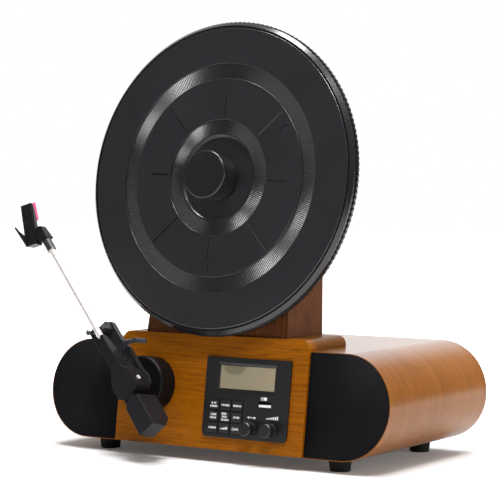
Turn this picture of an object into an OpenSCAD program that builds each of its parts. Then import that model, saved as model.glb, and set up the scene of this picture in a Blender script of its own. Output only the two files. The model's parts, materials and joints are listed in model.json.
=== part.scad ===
// Vertical record player: a leaning console and pillar on a rounded wooden speaker cabinet.
// Millimetres. The origin lies on the desk under the middle of the cabinet, +X to the right
// as seen from the front, +Y to the back, +Z up.

/* [Cabinet] */
// Width of the cabinet over its rounded ends
cabinet_w = 356; // [330:1:420]
// Height of the cabinet shell without its feet
cabinet_h = 88; // [84:1:110]
// Depth of the cabinet at its floor
cabinet_d = 178; // [160:1:230]
// Thickness of the wooden shell
shell_wall = 8; // [6:0.5:9]
// Wooden edge left showing round the grille cloth
shell_lip = 0.6; // [0.4:0.1:3]
// Wooden edge left round the rear panel
rear_lip = 3; // [2:0.5:4]
// Thickness of the rear panel
rear_panel_t = 4; // [3:0.5:6]
// Lean of the front, console and pillar away from upright, in degrees
lean = 8; // [5:0.5:11]
// Height of the rubber feet
foot_h = 11; // [8:0.5:16]
// Diameter of a foot under the cabinet
foot_top_d = 20; // [16:0.5:24]
// Diameter of a foot on the desk
foot_base_d = 17; // [14:0.5:20]
// Distance of each foot from the middle of the cabinet
foot_x = 122; // [110:1:130]
// Distance of the feet from the front and rear edges
foot_inset = 21; // [18:1:40]

/* [Console] */
// Width of the console that stands through the cabinet
console_w = 197; // [190:1:230]
// Height of the console above the cabinet's top, measured up the slope
console_rise = 9; // [4:0.5:30]
// Distance that the console stands proud of the speaker fronts
console_proud = 2.5; // [1:0.5:6]
// Depth of the console behind the speaker fronts
console_depth = 55.5; // [50:0.5:70]
// Thickness of the console's front board
console_front_t = 12; // [9:0.5:14]
// Thickness of the console's other boards
console_wall = 9; // [6:0.5:12]
// Radius of the console's top corners
console_corner_r = 8; // [3:0.5:12]

/* [Pillar] */
// Width of the pillar where it stands on the console
pillar_w = 149; // [140:1:160]
// Narrowing of each pillar side, in degrees
pillar_taper = 4.5; // [3:0.5:6]
// Thickness of the pillar's front board
pillar_front_t = 9; // [7:0.5:12]
// Thickness of the pillar's sides
pillar_wall = 8; // [6:0.5:10]
// Thickness of the cover on the back of the pillar
pillar_cover_t = 4; // [3:0.5:6]
// Wooden edge left round the pillar cover
pillar_lip = 3; // [2:0.5:4]

/* [Platter] */
// Radius of the platter's smooth rim
platter_r = 136.5; // [130:0.5:140]
// Thickness of the platter
platter_t = 15.3; // [14.5:0.1:18]
// Gap between the back of the platter's skirt and the pillar
platter_gap = 1.7; // [1:0.1:3]
// Height of the spindle above the console's top, up the slope
spindle_rise = 135.6; // [134:0.1:150]
// Distance that the toothed ring stands out of the smooth rim
tooth_reach = 2.2; // [1:0.1:4]
// Width of the toothed ring
tooth_band = 3.3; // [2:0.1:5]
// Distance of the toothed ring behind the platter's face
tooth_setback = 5.4; // [4:0.1:7]
// Number of teeth on the rim
tooth_count = 180; // [60:1:240]
// Depth of the teeth
tooth_depth = 1.1; // [0.5:0.1:1.5]
// Chamfer on the front edge of the rim
rim_chamfer = 3; // [1:0.1:4]
// Width of the flat between the chamfer and the sunken ring
rim_land = 0.4; // [0.3:0.1:2]
// Width of the sunken ring round the mat
rim_moat = 1.3; // [0.5:0.1:2]
// Depth of the sunken ring round the mat
moat_depth = 1.2; // [0.5:0.1:2]
// Outer radius of the platter's skirt, hidden behind the rim
skirt_r = 130.5; // [124:0.5:132]
// Thickness of the platter's skirt
skirt_t = 6; // [4:0.5:10]
// Thickness of the mat
mat_t = 5; // [4.5:0.1:6]
// Thickness of the platter's web
web_t = 3.8; // [3:0.1:4.2]
// Radius of the well in the middle of the mat
well_r = 38.2; // [30:0.1:45]
// Depth of the well
well_depth = 4; // [2:0.1:4]
// Outer radius of the inner ribbed ring
inner_ring_r = 50.6; // [47:0.1:52]
// Inner radius of the outer ribbed ring
outer_ring_in_r = 87; // [86:0.5:92]
// Outer radius of the outer ribbed ring
outer_ring_r = 100; // [95:0.5:110]
// Depth of both ribbed rings
ring_depth = 1; // [0.5:0.1:1.5]
// Width of the eight radial grooves
groove_w = 1.4; // [0.8:0.1:2]
// Depth of the radial grooves
groove_depth = 1.2; // [0.3:0.1:1.5]
// Radius at which the radial grooves begin
groove_start_r = 53; // [52:0.5:60]
// Radius at which the short grooves end
groove_short_r = 71; // [65:0.5:75]
// Radius at which the long grooves end
groove_long_r = 84.5; // [76:0.5:85]
// Diameter of the three mat plugs
plug_d = 8.6; // [6:0.1:10]
// Radius of the circle that the mat plugs stand on
plug_circle_r = 78.3; // [76:0.1:80]

/* [Bearing and drive] */
// Diameter of the spindle in its bushes
spindle_d = 8; // [6:0.1:9]
// Diameter of the spindle's nose, which fits the hole in a record
nose_d = 7.15; // [7.1:0.01:7.24]
// Distance that the nose stands out of the mat's well
nose_l = 18; // [12:0.5:20]
// Outer diameter of the bearing barrel
barrel_d = 20; // [18:0.5:24]
// Length of the bearing barrel behind the pillar's front
barrel_l = 40; // [30:1:44]
// Diameter of the bearing flange
flange_d = 44; // [36:1:60]
// Thickness of the bearing flange
flange_t = 3; // [2:0.5:3]
// Radius of the belt rim inside the platter
belt_rim_r = 58; // [50:1:65]
// Radius of the motor pulley
pulley_r = 7; // [5:0.5:9]
// Distance between the spindle and the motor shaft
motor_distance = 76; // [72:1:80]
// Diameter of the drive motor
motor_d = 34; // [28:1:38]
// Length of the drive motor
motor_l = 24; // [18:1:36]

/* [Record clamp] */
// Radius of the clamp's grip
clamp_r = 21.2; // [20:0.1:26]
// Radius of the clamp's body
clamp_body_r = 19.7; // [17:0.1:19.9]
// Distance of the clamp's front from the mat's face
clamp_h = 19.7; // [16:0.1:26]
// Thickness of the clamp's rubber pad
clamp_pad_t = 1.8; // [1:0.1:3]

/* [Control panel] */
// Distance of the panel's left edge from the middle
panel_x = -3; // [-8:0.1:0]
// Distance of the panel's lower edge from the cabinet's floor, up the slope
panel_s = 10.8; // [9:0.1:14]
// Width of the panel
panel_w = 86.3; // [85:0.1:92]
// Height of the panel
panel_h = 68.7; // [67:0.1:72]
// Thickness of the panel's front
panel_t = 2.5; // [2.5:0.1:4]
// Radius of the panel's lower corners
panel_corner_r = 5; // [2:0.5:7]
// Width of the display glass
glass_w = 56.3; // [50:0.1:58]
// Height of the display glass
glass_h = 19.9; // [16:0.1:21]
// Width of the sloping frame round the display glass
glass_slope = 2.8; // [2:0.1:4]
// Width of a key
key_w = 10.6; // [8:0.1:11]
// Height of a key
key_h = 8.9; // [7:0.1:9.1]
// Distance from key to key, across
key_pitch_x = 12.1; // [11.8:0.1:12.4]
// Distance from key to key, up
key_pitch_s = 9.9; // [9.7:0.1:10.4]
// Travel of a key
key_travel = 1.2; // [0.6:0.1:1.5]
// Diameter of the two control knobs
knob_d = 12.8; // [11:0.1:16]
// Distance that the knobs stand out from the panel
knob_h = 10; // [8:0.1:14]
// Distance between the two knobs
knob_spacing = 20.4; // [17:0.1:22]

/* [Tonearm] */
// Distance of the arm's swing axis from the middle, to the left
arm_x = 61; // [58:0.5:64]
// Distance of the arm's swing axis from the cabinet's floor, up the slope
arm_s = 52; // [48:0.5:56]
// Angle of the resting arm from straight up, in degrees
arm_angle = 40.5; // [38:0.5:44]
// Radius of the arm base
base_r = 24; // [22:0.5:28]
// Height of the arm base above the console
base_h = 19.5; // [17:0.5:20]
// Height of the arm's tube above the speaker fronts
tube_n = 44; // [43.5:0.1:45]
// Diameter of the arm's tube
tube_d = 5.8; // [5:0.1:6.6]
// Distance from the swing axis to the root of the headshell
arm_reach = 164.5; // [160:0.5:170]
// Length of the headshell
head_l = 38.5; // [34:0.5:42]
// Width of the headshell
head_w = 11.4; // [10:0.1:14]
// Angle of the headshell to the tube, in degrees
head_angle = 24.5; // [20:0.5:26]
// Width of the counterweight
weight_w = 18; // [14:0.1:19]
// Length of the counterweight
weight_l = 31; // [24:0.5:34]

/* [Hidden] */
$fn = 48;

// Larger than the whole object, for cutters
big = 900;
// Overlap of a cutter past the face that it opens
past = 1;
// Gap round a panel or board that drops into a recess
fit = 0.3;
// Gap round a screw in its hole
screw_fit = 0.1;
// Radial gap of a shaft in its bearing
shaft_fit = 0.05;
// Gap round a part that slides or turns near another
free_gap = 0.4;

front_y = -cabinet_d / 2;
end_r = cabinet_h / 2;
end_x = cabinet_w / 2 - end_r;
cabinet_top_s = cabinet_h / cos(lean);
console_half = console_w / 2;
console_h = cabinet_top_s + console_rise;
console_back_n = -console_depth;
console_front_n = console_proud;
console_inner_n = console_proud - console_front_t;
// The console's top is level, so the slope meets it farther up towards the back
console_top_z = foot_h + console_h * cos(lean) + console_proud * sin(lean);
pillar_base_s = console_h + (console_depth + console_proud) * tan(lean);
wire_slot_w = 50;
wire_slot_n = [0.62 * console_back_n, 0.45 * console_back_n];

// Grille, behind the plane of the speaker fronts
cloth_t = 0.8;
grille_frame_t = 3;
grille_frame_w = 7;
baffle_t = 9;
grille_depth = cloth_t + grille_frame_t;
baffle_back_n = -grille_depth - 0.2 - baffle_t;

// Speakers, as large as the bay beside the console takes
bay_w = cabinet_w / 2 - console_half;
speaker_margin = 6.75;
speaker_shift = 3.75;
speaker_x = console_half + bay_w / 2 - speaker_shift;
speaker_s = cabinet_top_s / 2;
speaker_flange_r = min(bay_w / 2 - speaker_margin, end_r - shell_wall - 3);
speaker_hole_r = speaker_flange_r - 6;
speaker_flange_t = 3;
speaker_depth = 15;
magnet_r = speaker_hole_r - 4.5;
magnet_t = 14;
speaker_screw_r = speaker_flange_r - 3;

// Screws: shank radius, head radius and head height
wood_screw = [1.4, 2.8, 1.6];
machine_screw = [1.0, 2.0, 1.2];

platter_s = console_h + spindle_rise;
platter_back_n = platter_gap;
face_n = platter_back_n + platter_t;
tooth_top_n = face_n - tooth_setback;
tooth_back_n = tooth_top_n - tooth_band;
mat_back_n = face_n - mat_t;
web_back_n = mat_back_n - web_t;
moat_r = platter_r - rim_chamfer - rim_land;
mat_r = moat_r - rim_moat;
well_n = face_n - well_depth;
plug_angles = [31, 151, 271];
groove_turn = -2.8;

pillar_top_r = (pillar_w / 2 - (platter_s - console_h) * tan(pillar_taper)) * cos(pillar_taper);
pillar_cavity_back_n = console_back_n + pillar_cover_t;

bush_r = 5.5;
bush_l = 10;
flange_gap = 0.6;
belt_t = 0.8;
belt_w = 3;
belt_n = platter_back_n + 1.9;
motor_s = platter_s - motor_distance;
motor_shaft_r = 1;
pulley_groove = 0.6;
motor_boss_r = 5;
motor_screw_x = 12;
bearing_screw_r = 17;
clip_t = 1.2;
nose_tip_n = well_n + nose_l;

clamp_front_n = face_n + clamp_h;
clamp_back_n = well_n + clamp_pad_t;
clamp_grip_l = 5.2;

panel_front_n = console_front_n + panel_t;
glass_x = panel_x + 14.2;
glass_s = panel_s + panel_h - 6.8 - glass_h;
glass_front_n = panel_front_n - 1.4;
glass_t = 1.5;
key_x = panel_x + 6;
key_s = panel_s + 3.6;
key_front_n = panel_front_n + 0.9;
key_back_n = console_front_n - 1.1;
key_stem_r = 1.5;
board_n = console_front_n - 8.5;
board_t = 1.6;
board_front_n = board_n + board_t;
stem_end_n = board_front_n + key_travel + 0.25;
knob_x = panel_x + 50.1;
knob_s = panel_s + 9;
knob_back_n = panel_front_n + free_gap;
knob_shaft_r = 3;
usb_x = panel_x + 55.7;
usb_s = panel_s + 27.4;
usb_w = 14;
usb_h = 6;
usb_l = 14;
usb_shell_t = 0.5;

// Tonearm, in its own directions: across (v), along (u) and outward (n)
base_top_n = console_front_n + base_h;
post_r = 4.5;
turret_r = 8.5;
bracket_t = 4;
bracket_top_n = base_top_n + bracket_t;
turret_top_n = bracket_top_n + 0.8;
pivot_u = -5;
pivot_n = tube_n - 2;
neck_w = 10;
neck_l = 8;
lift_down = 4.8;
lift_up = 8;
housing_front_n = tube_n + 5.5;
housing_tail_u = -15;
housing_nose_u = 12.7;
housing_nose_w = 10.4;
neck_start_w = 10.8;
neck_end_w = 5.8;
housing_back_n = tube_n - 15;
housing_left = -11.3;
housing_right = 12.9;
neck_end_u = 48;
neck_under_n = tube_n - 8;
tube_v = 1.2;
tube_start_u = 20;
tube_r = tube_d / 2;
collar_start_u = 146;
collar_end_u = 158;
collar_r = 4.1;
socket_end_u = 172;
head_v = -17.5;
head_front_n = tube_n + 6;
lift_blade_t = 1.2;
stylus_tip_n = tube_n - 8.6;
weight_start_u = -20.5;
weight_v = 0.6;
weight_front_n = tube_n + 8;
weight_back_n = tube_n - 19;
cue_u = 25;
cue_v = 1;
cue_r = 1.5;
cue_pin_top_n = pivot_n - (cue_u - pivot_u) * sin(lift_down)
    + (neck_under_n - pivot_n) * cos(lift_down) - fit;
lever_v = 8;
lever_u = 33;
lever_n = bracket_top_n + 3;
lever_r = 2.1;
lever_hub_r = 2.9;
lever_pin_r = 1.1;
latch_u = 58;
latch_v = -4.2;
latch_n = tube_n - 4.4;
latch_t = 1.2;
latch_w = 3;
latch_pin_r = 0.5;
cheek_v = -8.4;
cheek_t = 1.2;

// Racetrack outline of the cabinet, drawn in by an inset
module racetrack(inset) {
    square([2 * end_x, 2 * (end_r - inset)], center = true);
    for (side = [-1, 1]) translate([side * end_x, 0]) circle(end_r - inset, $fn = 96);
}

// A bar of the cabinet's outline between two distances from its back
module cabinet_bar(inset, from, to) {
    translate([0, cabinet_d / 2 - from, foot_h + end_r]) rotate([90, 0, 0])
        linear_extrude(to - from) racetrack(inset);
}

// Draws children as right, up the slope and outward, from the front's lower edge
module on_front() {
    translate([0, front_y, foot_h]) rotate([90 - lean, 0, 0]) children();
}

// Draws children round the platter's axis
module on_axis() {
    on_front() translate([0, platter_s, 0]) children();
}

// Draws children across, along and outward of the resting arm
module on_arm() {
    on_front() translate([-arm_x, arm_s, 0]) rotate([0, 0, arm_angle]) children();
}

// A slab parallel to the leaning front
module slab(from_n, to_n) {
    on_front() translate([-big / 2, -big / 2, from_n]) cube([big, big, to_n - from_n]);
}

// A box given by its lowest and highest corners
module span(low, high) {
    translate(low) cube(high - low);
}

// A disc between two heights
module disc(r, from_n, to_n) {
    translate([0, 0, from_n]) cylinder(r = r, h = to_n - from_n);
}

// A screw along -Z with its head resting on z = 0
module screw(size, length) {
    disc(size[0], -length, 0.01);
    disc(size[1], 0, size[2]);
}

// The hole that a screw of that size needs
module screw_hole(size, length) {
    disc(size[0] + screw_fit, -length - screw_fit, past);
}

// Everything outside the console on one side
module beside_console(side) {
    translate([side > 0 ? console_half + fit : -big / 2 - console_half - fit, -big / 2, -big / 2])
        cube([big / 2, big, big]);
}

// A plate of the cabinet's outline on one side of the console
module front_plate(side, inset, from_n, to_n) {
    intersection() {
        cabinet_bar(inset, 0, cabinet_d + past);
        slab(from_n, to_n);
        beside_console(side);
    }
}

// Places children at both speakers
module at_speakers() {
    on_front() for (side = [-1, 1]) translate([side * speaker_x, speaker_s, 0]) children();
}

// Places children at the four screws of each speaker
module at_speaker_screws() {
    at_speakers() for (turn = [45:90:315]) rotate([0, 0, turn]) translate([speaker_screw_r, 0, 0])
        children();
}

// Places children under the four feet
module at_feet() {
    for (x = [-foot_x, foot_x], y = [front_y + foot_inset, -front_y - foot_inset])
        translate([x, y, 0]) children();
}

// Places children at the rear panel's screws, pointing out of the panel
rear_screw_x = [-end_x, -end_x / 3, end_x / 3, end_x];
rear_screw_z = end_r - shell_wall / 2 - rear_lip / 2;
module at_rear_screws() {
    for (x = rear_screw_x, z = [-rear_screw_z, rear_screw_z])
        translate([x, cabinet_d / 2, foot_h + end_r + z]) rotate([-90, 0, 0]) children();
}

// Outline of the pillar from a base line up, drawn in by an inset; its sides cross the round top
// a hair inside
side_dip = 0.05;
module pillar_outline(inset, from_s) {
    r = pillar_top_r - inset;
    side_r = r - side_dip;
    base_s = from_s + inset;
    base_half = side_r / cos(pillar_taper) + (platter_s - base_s) * tan(pillar_taper);
    shoulder = [side_r * cos(pillar_taper), platter_s + side_r * sin(pillar_taper)];
    polygon([[-base_half, base_s], [base_half, base_s], shoulder, [-shoulder[0], shoulder[1]]]);
    translate([0, platter_s]) circle(r, $fn = 96);
}

// Places children at the pillar cover's screws, pointing out of its back
cover_seat = (pillar_lip + pillar_wall) / 2;
module at_cover_screws() {
    on_front() {
        for (turn = [30, 90, 150]) translate([0, platter_s, console_back_n]) rotate([0, 0, turn])
            translate([pillar_top_r - cover_seat, 0, 0]) rotate([180, 0, 0]) children();
        for (side = [-1, 1])
            translate([side * pillar_w / 2 * 0.88, pillar_base_s + cover_seat, console_back_n])
            rotate([180, 0, 0]) children();
    }
}

// Places children under the console's level top, pointing up into the pillar's floor
module at_pillar_screws() {
    for (x = [-1, 1], part = [0.36, 0.72]) translate([
        x * pillar_w / 3,
        front_y + console_h * sin(lean) + part * console_depth * cos(lean),
        console_top_z - console_wall
    ]) rotate([180, 0, 0]) children();
}

// Everything below a height
module below(z) {
    span([-big / 2, -big / 2, -big / 2], [big / 2, big / 2, z]);
}

// The console's solid block: level and rounded on top, leaning in front and behind
module console_block() {
    r = console_corner_r;
    intersection() {
        translate([0, big / 2, 0]) rotate([90, 0, 0]) linear_extrude(big) union() {
            translate([-console_half, 0]) square([console_w, console_top_z - r]);
            translate([r - console_half, 0]) square([console_w - 2 * r, console_top_z]);
            for (side = [-1, 1]) translate([side * (console_half - r), console_top_z - r]) circle(r);
        }
        slab(console_back_n, console_front_n);
    }
}

// Centre of a key, counted from the upper left
function key_centre(i) = [
    key_x + key_w / 2 + (i % 3) * key_pitch_x,
    key_s + key_h / 2 + (2 - floor(i / 3)) * key_pitch_s
];

// Places children at one knob's centre on the panel
module at_knob(i) {
    on_front() translate([knob_x + i * knob_spacing, knob_s, 0]) children();
}

module cabinet_shell() {
    color("peru") difference() {
        cabinet_bar(0, 0, cabinet_d);
        slab(0, big);
        cabinet_bar(shell_wall, -past, cabinet_d + past);
        intersection() {
            cabinet_bar(shell_lip, 0, cabinet_d + past);
            slab(-grille_depth, big);
        }
        cabinet_bar(rear_lip, -past, rear_panel_t);
        // Opening in the top and front that the console stands in
        intersection() {
            on_front() span([-console_half - fit, -big / 2, console_back_n - fit],
                [console_half + fit, big / 2, big / 2]);
            span([-big / 2, -big / 2, foot_h + shell_wall], [big / 2, big / 2, big]);
        }
        on_front() span([-console_half - fit, -big / 2, console_inner_n - fit],
            [console_half + fit, big / 2, big / 2]);
        at_rear_screws() translate([0, 0, -rear_panel_t]) screw_hole(wood_screw, shell_wall);
        at_feet() disc(wood_screw[0] + screw_fit, foot_h - past, foot_h + shell_wall * 0.8);
    }
}

module rear_panel() {
    color("#2a2725") difference() {
        cabinet_bar(rear_lip + fit, 0, rear_panel_t);
        at_rear_screws() screw_hole(wood_screw, rear_panel_t + past);
        at_jacks([0, 1]) disc(jack_hole_r, -rear_panel_t - past, past);
        at_jacks([2]) disc(aux_nut_r + screw_fit, -rear_panel_t - past, past);
        at_jacks([3]) disc(power_r + screw_fit, -rear_panel_t - past, past);
    }
}

module rubber_feet() {
    color("#1c1c1c") at_feet() difference() {
        cylinder(d1 = foot_base_d, d2 = foot_top_d, h = foot_h);
        disc(wood_screw[1] + fit, -past, foot_h / 2);
        disc(wood_screw[0] + screw_fit, -past, foot_h + past);
    }
}

module foot_screws() {
    color("silver") at_feet() translate([0, 0, foot_h / 2]) rotate([180, 0, 0])
        screw(wood_screw, foot_h / 2 + shell_wall * 0.75);
}

module speaker_baffles() {
    color("#6b5a45") difference() {
        for (side = [-1, 1])
            front_plate(side, shell_wall + fit, baffle_back_n, baffle_back_n + baffle_t);
        at_speakers() disc(speaker_hole_r, baffle_back_n - past, 0);
        at_speaker_screws() disc(wood_screw[0] + screw_fit, baffle_back_n - past, baffle_back_n + 6.2);
    }
}

module grille_frames() {
    color("#26241f") for (side = [-1, 1]) difference() {
        front_plate(side, shell_lip + fit, -grille_depth, -cloth_t);
        intersection() {
            cabinet_bar(shell_lip + fit + grille_frame_w, 0, cabinet_d + past);
            translate([side * grille_frame_w, 0, 0]) beside_console(side);
        }
    }
}

module grille_cloths() {
    color("#1d1b1a") for (side = [-1, 1]) front_plate(side, shell_lip + fit, -cloth_t, 0);
}

module speaker_frames() {
    flange_n = baffle_back_n - speaker_flange_t;
    basket_n = flange_n - speaker_depth;
    wall = 1.5;
    color("#3a3a3c") difference() {
        at_speakers() rotate_extrude($fn = 96) polygon([
            [speaker_hole_r - 1, baffle_back_n], [speaker_flange_r, baffle_back_n],
            [speaker_flange_r, flange_n], [speaker_hole_r, flange_n],
            [magnet_r * 0.7, basket_n], [magnet_r, basket_n], [magnet_r, basket_n - magnet_t],
            [0, basket_n - magnet_t], [0, basket_n + wall], [magnet_r * 0.7 - wall, basket_n + wall],
            [speaker_hole_r - 1, flange_n + 1]
        ]);
        at_speaker_screws() disc(wood_screw[0] + screw_fit, flange_n - past, baffle_back_n + past);
    }
}

module speaker_cones() {
    top_n = baffle_back_n - 0.5;
    low_n = baffle_back_n - speaker_depth * 0.8;
    rim_r = speaker_hole_r - 1 - fit;
    dome_r = speaker_hole_r / 3;
    color("#2b2b2d") at_speakers() rotate_extrude($fn = 96) polygon([
        [0, low_n], [dome_r, low_n], [rim_r - 2, top_n - 2], [rim_r, top_n - 2], [rim_r, top_n],
        [rim_r - 3, top_n], [dome_r, low_n + 1.5], [dome_r * 0.5, low_n + 3.2], [0, low_n + 3.8]
    ]);
}

module speaker_screws() {
    color("silver") at_speaker_screws() translate([0, 0, baffle_back_n - speaker_flange_t])
        rotate([180, 0, 0]) screw([wood_screw[0], 2.4, wood_screw[2]], speaker_flange_t + 6);
}

module console_body() {
    cut_x = panel_x + 3;
    color("#b5651d") difference() {
        console_block();
        // Clears the desk side of the front board, and stands behind it on the cabinet's floor
        below(foot_h + 0.5);
        intersection() {
            slab(-big / 2, console_inner_n);
            below(foot_h + shell_wall);
        }
        intersection() {
            on_front() span([console_wall - console_half, -big / 2, console_back_n + console_wall],
                [console_half - console_wall, big / 2, console_inner_n]);
            below(console_top_z - console_wall);
        }
        on_front() {
            // Cut-outs for the control panel, the pillar's wires and the amplifier's wires
            span([cut_x, panel_s + 3, console_inner_n - past],
                [panel_x + panel_w - 3, panel_s + panel_h - 3, console_front_n + past]);
            span([-wire_slot_w / 2, console_h - console_wall - past, wire_slot_n[0]],
                [wire_slot_w / 2, pillar_base_s + past, wire_slot_n[1]]);
            span([-30, 30, console_back_n - past], [30, 50, console_back_n + console_wall + past]);
        }
        at_pillar_screws() disc(wood_screw[0] + screw_fit, -console_wall - past, past);
        at_base_screws() disc(wood_screw[0] + screw_fit, -console_front_t - past, past);
    }
}

module pillar_shell() {
    color("#8a4a17") difference() {
        on_front() translate([0, 0, console_back_n])
            linear_extrude(-console_back_n) pillar_outline(0, console_h - past);
        below(console_top_z);
        on_front() translate([0, 0, console_back_n - past])
            linear_extrude(-console_back_n - pillar_front_t + past)
                pillar_outline(pillar_wall, pillar_base_s);
        on_front() translate([0, 0, console_back_n - past])
            linear_extrude(pillar_cover_t + past) pillar_outline(pillar_lip, pillar_base_s);
        on_axis() disc(barrel_d / 2 + screw_fit, -pillar_front_t - past, past);
        on_front() translate([0, motor_s, 0]) disc(motor_boss_r + fit, -pillar_front_t - past, past);
        on_front() span([-wire_slot_w / 2, console_h - past, wire_slot_n[0]],
            [wire_slot_w / 2, pillar_base_s + pillar_wall + past, wire_slot_n[1]]);
        at_bearing_screws() disc(machine_screw[0] + screw_fit, -7, past);
        at_motor_screws() disc(machine_screw[0] + screw_fit, -pillar_front_t - past, past);
        at_cover_screws() disc(wood_screw[0] + screw_fit, -pillar_cover_t - 10, past);
        at_pillar_screws() disc(wood_screw[0] + screw_fit, -console_wall - 6.2, past);
    }
}

module pillar_cover() {
    color("#2a2725") difference() {
        on_front() translate([0, 0, console_back_n])
            linear_extrude(pillar_cover_t) pillar_outline(pillar_lip + fit, pillar_base_s);
        at_cover_screws() screw_hole(wood_screw, pillar_cover_t + past);
        on_front() for (row = [-3:3]) span([-25, platter_s - 60 + row * 6 - 1.2, console_back_n - past],
            [25, platter_s - 60 + row * 6 + 1.2, pillar_cavity_back_n + past]);
    }
}

module wood_screws() {
    color("silver") {
        at_rear_screws() screw(wood_screw, rear_panel_t + shell_wall * 0.75);
        at_cover_screws() screw(wood_screw, pillar_cover_t + 8);
        at_pillar_screws() screw(wood_screw, console_wall + 6);
        at_base_screws() screw(wood_screw, console_front_t + 6);
    }
}

// Jacks on the rear panel: two line outputs, the auxiliary input and the power inlet
jack_x = [60, 40, 10, -30];
jack_z = 26;
line_out_r = 4.15;
line_out_l = 8.5;
line_out_bore_r = 1.6;
jack_hole_r = 5.5;
aux_bore_r = 1.8;
aux_nut_r = 4;
aux_depth = 14;
power_r = 5.5;
power_bore_r = 2.75;
power_pin_r = 1;
jack_box = [14, 12];
module at_jacks(which) {
    for (i = which) translate([jack_x[i], cabinet_d / 2, foot_h + jack_z]) rotate([-90, 0, 0])
        children();
}

module rear_jacks() {
    color("#3b3b3d") {
        at_jacks([0, 1]) difference() {
            union() {
                translate([0, 0, -rear_panel_t - 6]) cube([jack_box[0], jack_box[0], 12], center = true);
                disc(jack_hole_r - screw_fit, -rear_panel_t - 1, 0.8);
                disc(line_out_r, -1, line_out_l);
            }
            disc(line_out_bore_r, -6, line_out_l + past);
        }
        at_jacks([2]) difference() {
            union() {
                translate([0, 0, -rear_panel_t - 6]) cube([10, 12, 12], center = true);
                disc(aux_nut_r, -rear_panel_t - 1, 0.8);
            }
            disc(aux_bore_r, 0.8 - aux_depth, 0.8 + past);
        }
        at_jacks([3]) difference() {
            union() {
                translate([0, 0, -rear_panel_t - 6]) cube([14, 14, 12], center = true);
                disc(power_r, -rear_panel_t - 1, 0.8);
            }
            difference() {
                disc(power_bore_r, -8.7, 0.8 + past);
                disc(power_pin_r, -9, -1);
            }
        }
    }
}

board_x = 55;
board_y = [-12, 62];
board_lift = 6;
module amplifier_board() {
    floor_z = foot_h + shell_wall;
    color("#1f5c34") {
        difference() {
            span([-board_x, board_y[0], floor_z + board_lift],
                [board_x, board_y[1], floor_z + board_lift + board_t]);
            for (x = [-1, 1], y = board_y) translate([x * (board_x - 5), y > 0 ? y - 5 : y + 5, floor_z])
                disc(1.3, 0, big / 9);
        }
        for (x = [-1, 1], y = board_y) translate([x * (board_x - 5), y > 0 ? y - 5 : y + 5, floor_z])
            difference() {
                disc(3, 0, board_lift + 0.01);
                disc(1.3, -past, board_lift + past);
            }
        // Heat sink, two capacitors and the transformer
        for (fin = [0:4]) span([-45, 14 + fin * 5, floor_z + board_lift + 1.59],
            [-15, 16 + fin * 5, floor_z + board_lift + 22]);
        for (x = [5, 20]) translate([x, 20, floor_z + board_lift + 1.59]) cylinder(d = 12, h = 20);
        span([0, 34, floor_z + board_lift + 1.59], [30, 56, floor_z + board_lift + 20]);
    }
}

module at_bearing_screws() {
    on_axis() for (turn = [0, 120, 240]) rotate([0, 0, turn]) translate([bearing_screw_r, 0, 0])
        children();
}

module at_motor_screws() {
    on_front() for (side = [-1, 1]) translate([side * motor_screw_x, motor_s, 0]) children();
}

module bearing_housing() {
    color("#b0b3b8") difference() {
        on_axis() union() {
            disc(flange_d / 2, 0, flange_t);
            disc(barrel_d / 2, -barrel_l, flange_t / 2);
        }
        on_axis() disc(bush_r, -barrel_l - past, flange_t + past);
        at_bearing_screws() disc(machine_screw[0] + screw_fit, -past, flange_t + past);
    }
}

module bearing_bushes() {
    color("#a77b3c") on_axis() for (from = [-barrel_l, flange_t - bush_l]) difference() {
        disc(bush_r - shaft_fit, from, from + bush_l);
        disc(spindle_d / 2 + shaft_fit, from - past, from + bush_l + past);
    }
}

module drive_motor() {
    color("#9ea1a6") difference() {
        on_front() translate([0, motor_s, 0]) union() {
            disc(motor_d / 2, -pillar_front_t - motor_l, -pillar_front_t);
            disc(motor_boss_r, -pillar_front_t - 1, -pillar_front_t + 2);
        }
        on_front() translate([0, motor_s, 0])
            disc(motor_shaft_r + shaft_fit, -pillar_front_t - motor_l + 2, 0);
        at_motor_screws() disc(machine_screw[0] + screw_fit, -pillar_front_t - 5, 0);
    }
}

module drive_screws() {
    color("silver") {
        at_bearing_screws() translate([0, 0, flange_t]) screw(machine_screw, flange_t + 6);
        at_motor_screws() screw(machine_screw, pillar_front_t + 4);
    }
}

module motor_pulley() {
    color("#d8d4c8") on_front() translate([0, motor_s, 0]) {
        difference() {
            disc(pulley_r, belt_n - 1.5, belt_n + belt_w + 1);
            difference() {
                disc(pulley_r + past, belt_n - 0.2, belt_n + belt_w + 0.2);
                disc(pulley_r - pulley_groove, belt_n - past, belt_n + belt_w + past);
            }
        }
        disc(motor_shaft_r, -pillar_front_t - motor_l + 3, belt_n);
    }
}

// Outline round the belt rim and the pulley, let out by a distance
module belt_outline(out) {
    rim = belt_rim_r + out;
    small = pulley_r - pulley_groove + out;
    tilt = asin((rim - small) / motor_distance);
    circle(rim, $fn = 96);
    translate([0, -motor_distance]) circle(small);
    polygon([
        [-rim * cos(tilt), -rim * sin(tilt)], [-small * cos(tilt), -motor_distance - small * sin(tilt)],
        [small * cos(tilt), -motor_distance - small * sin(tilt)], [rim * cos(tilt), -rim * sin(tilt)]
    ]);
}

module drive_belt() {
    color("#151515") on_axis() translate([0, 0, belt_n]) linear_extrude(belt_w) difference() {
        belt_outline(fit + belt_t);
        belt_outline(fit);
    }
}

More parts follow.
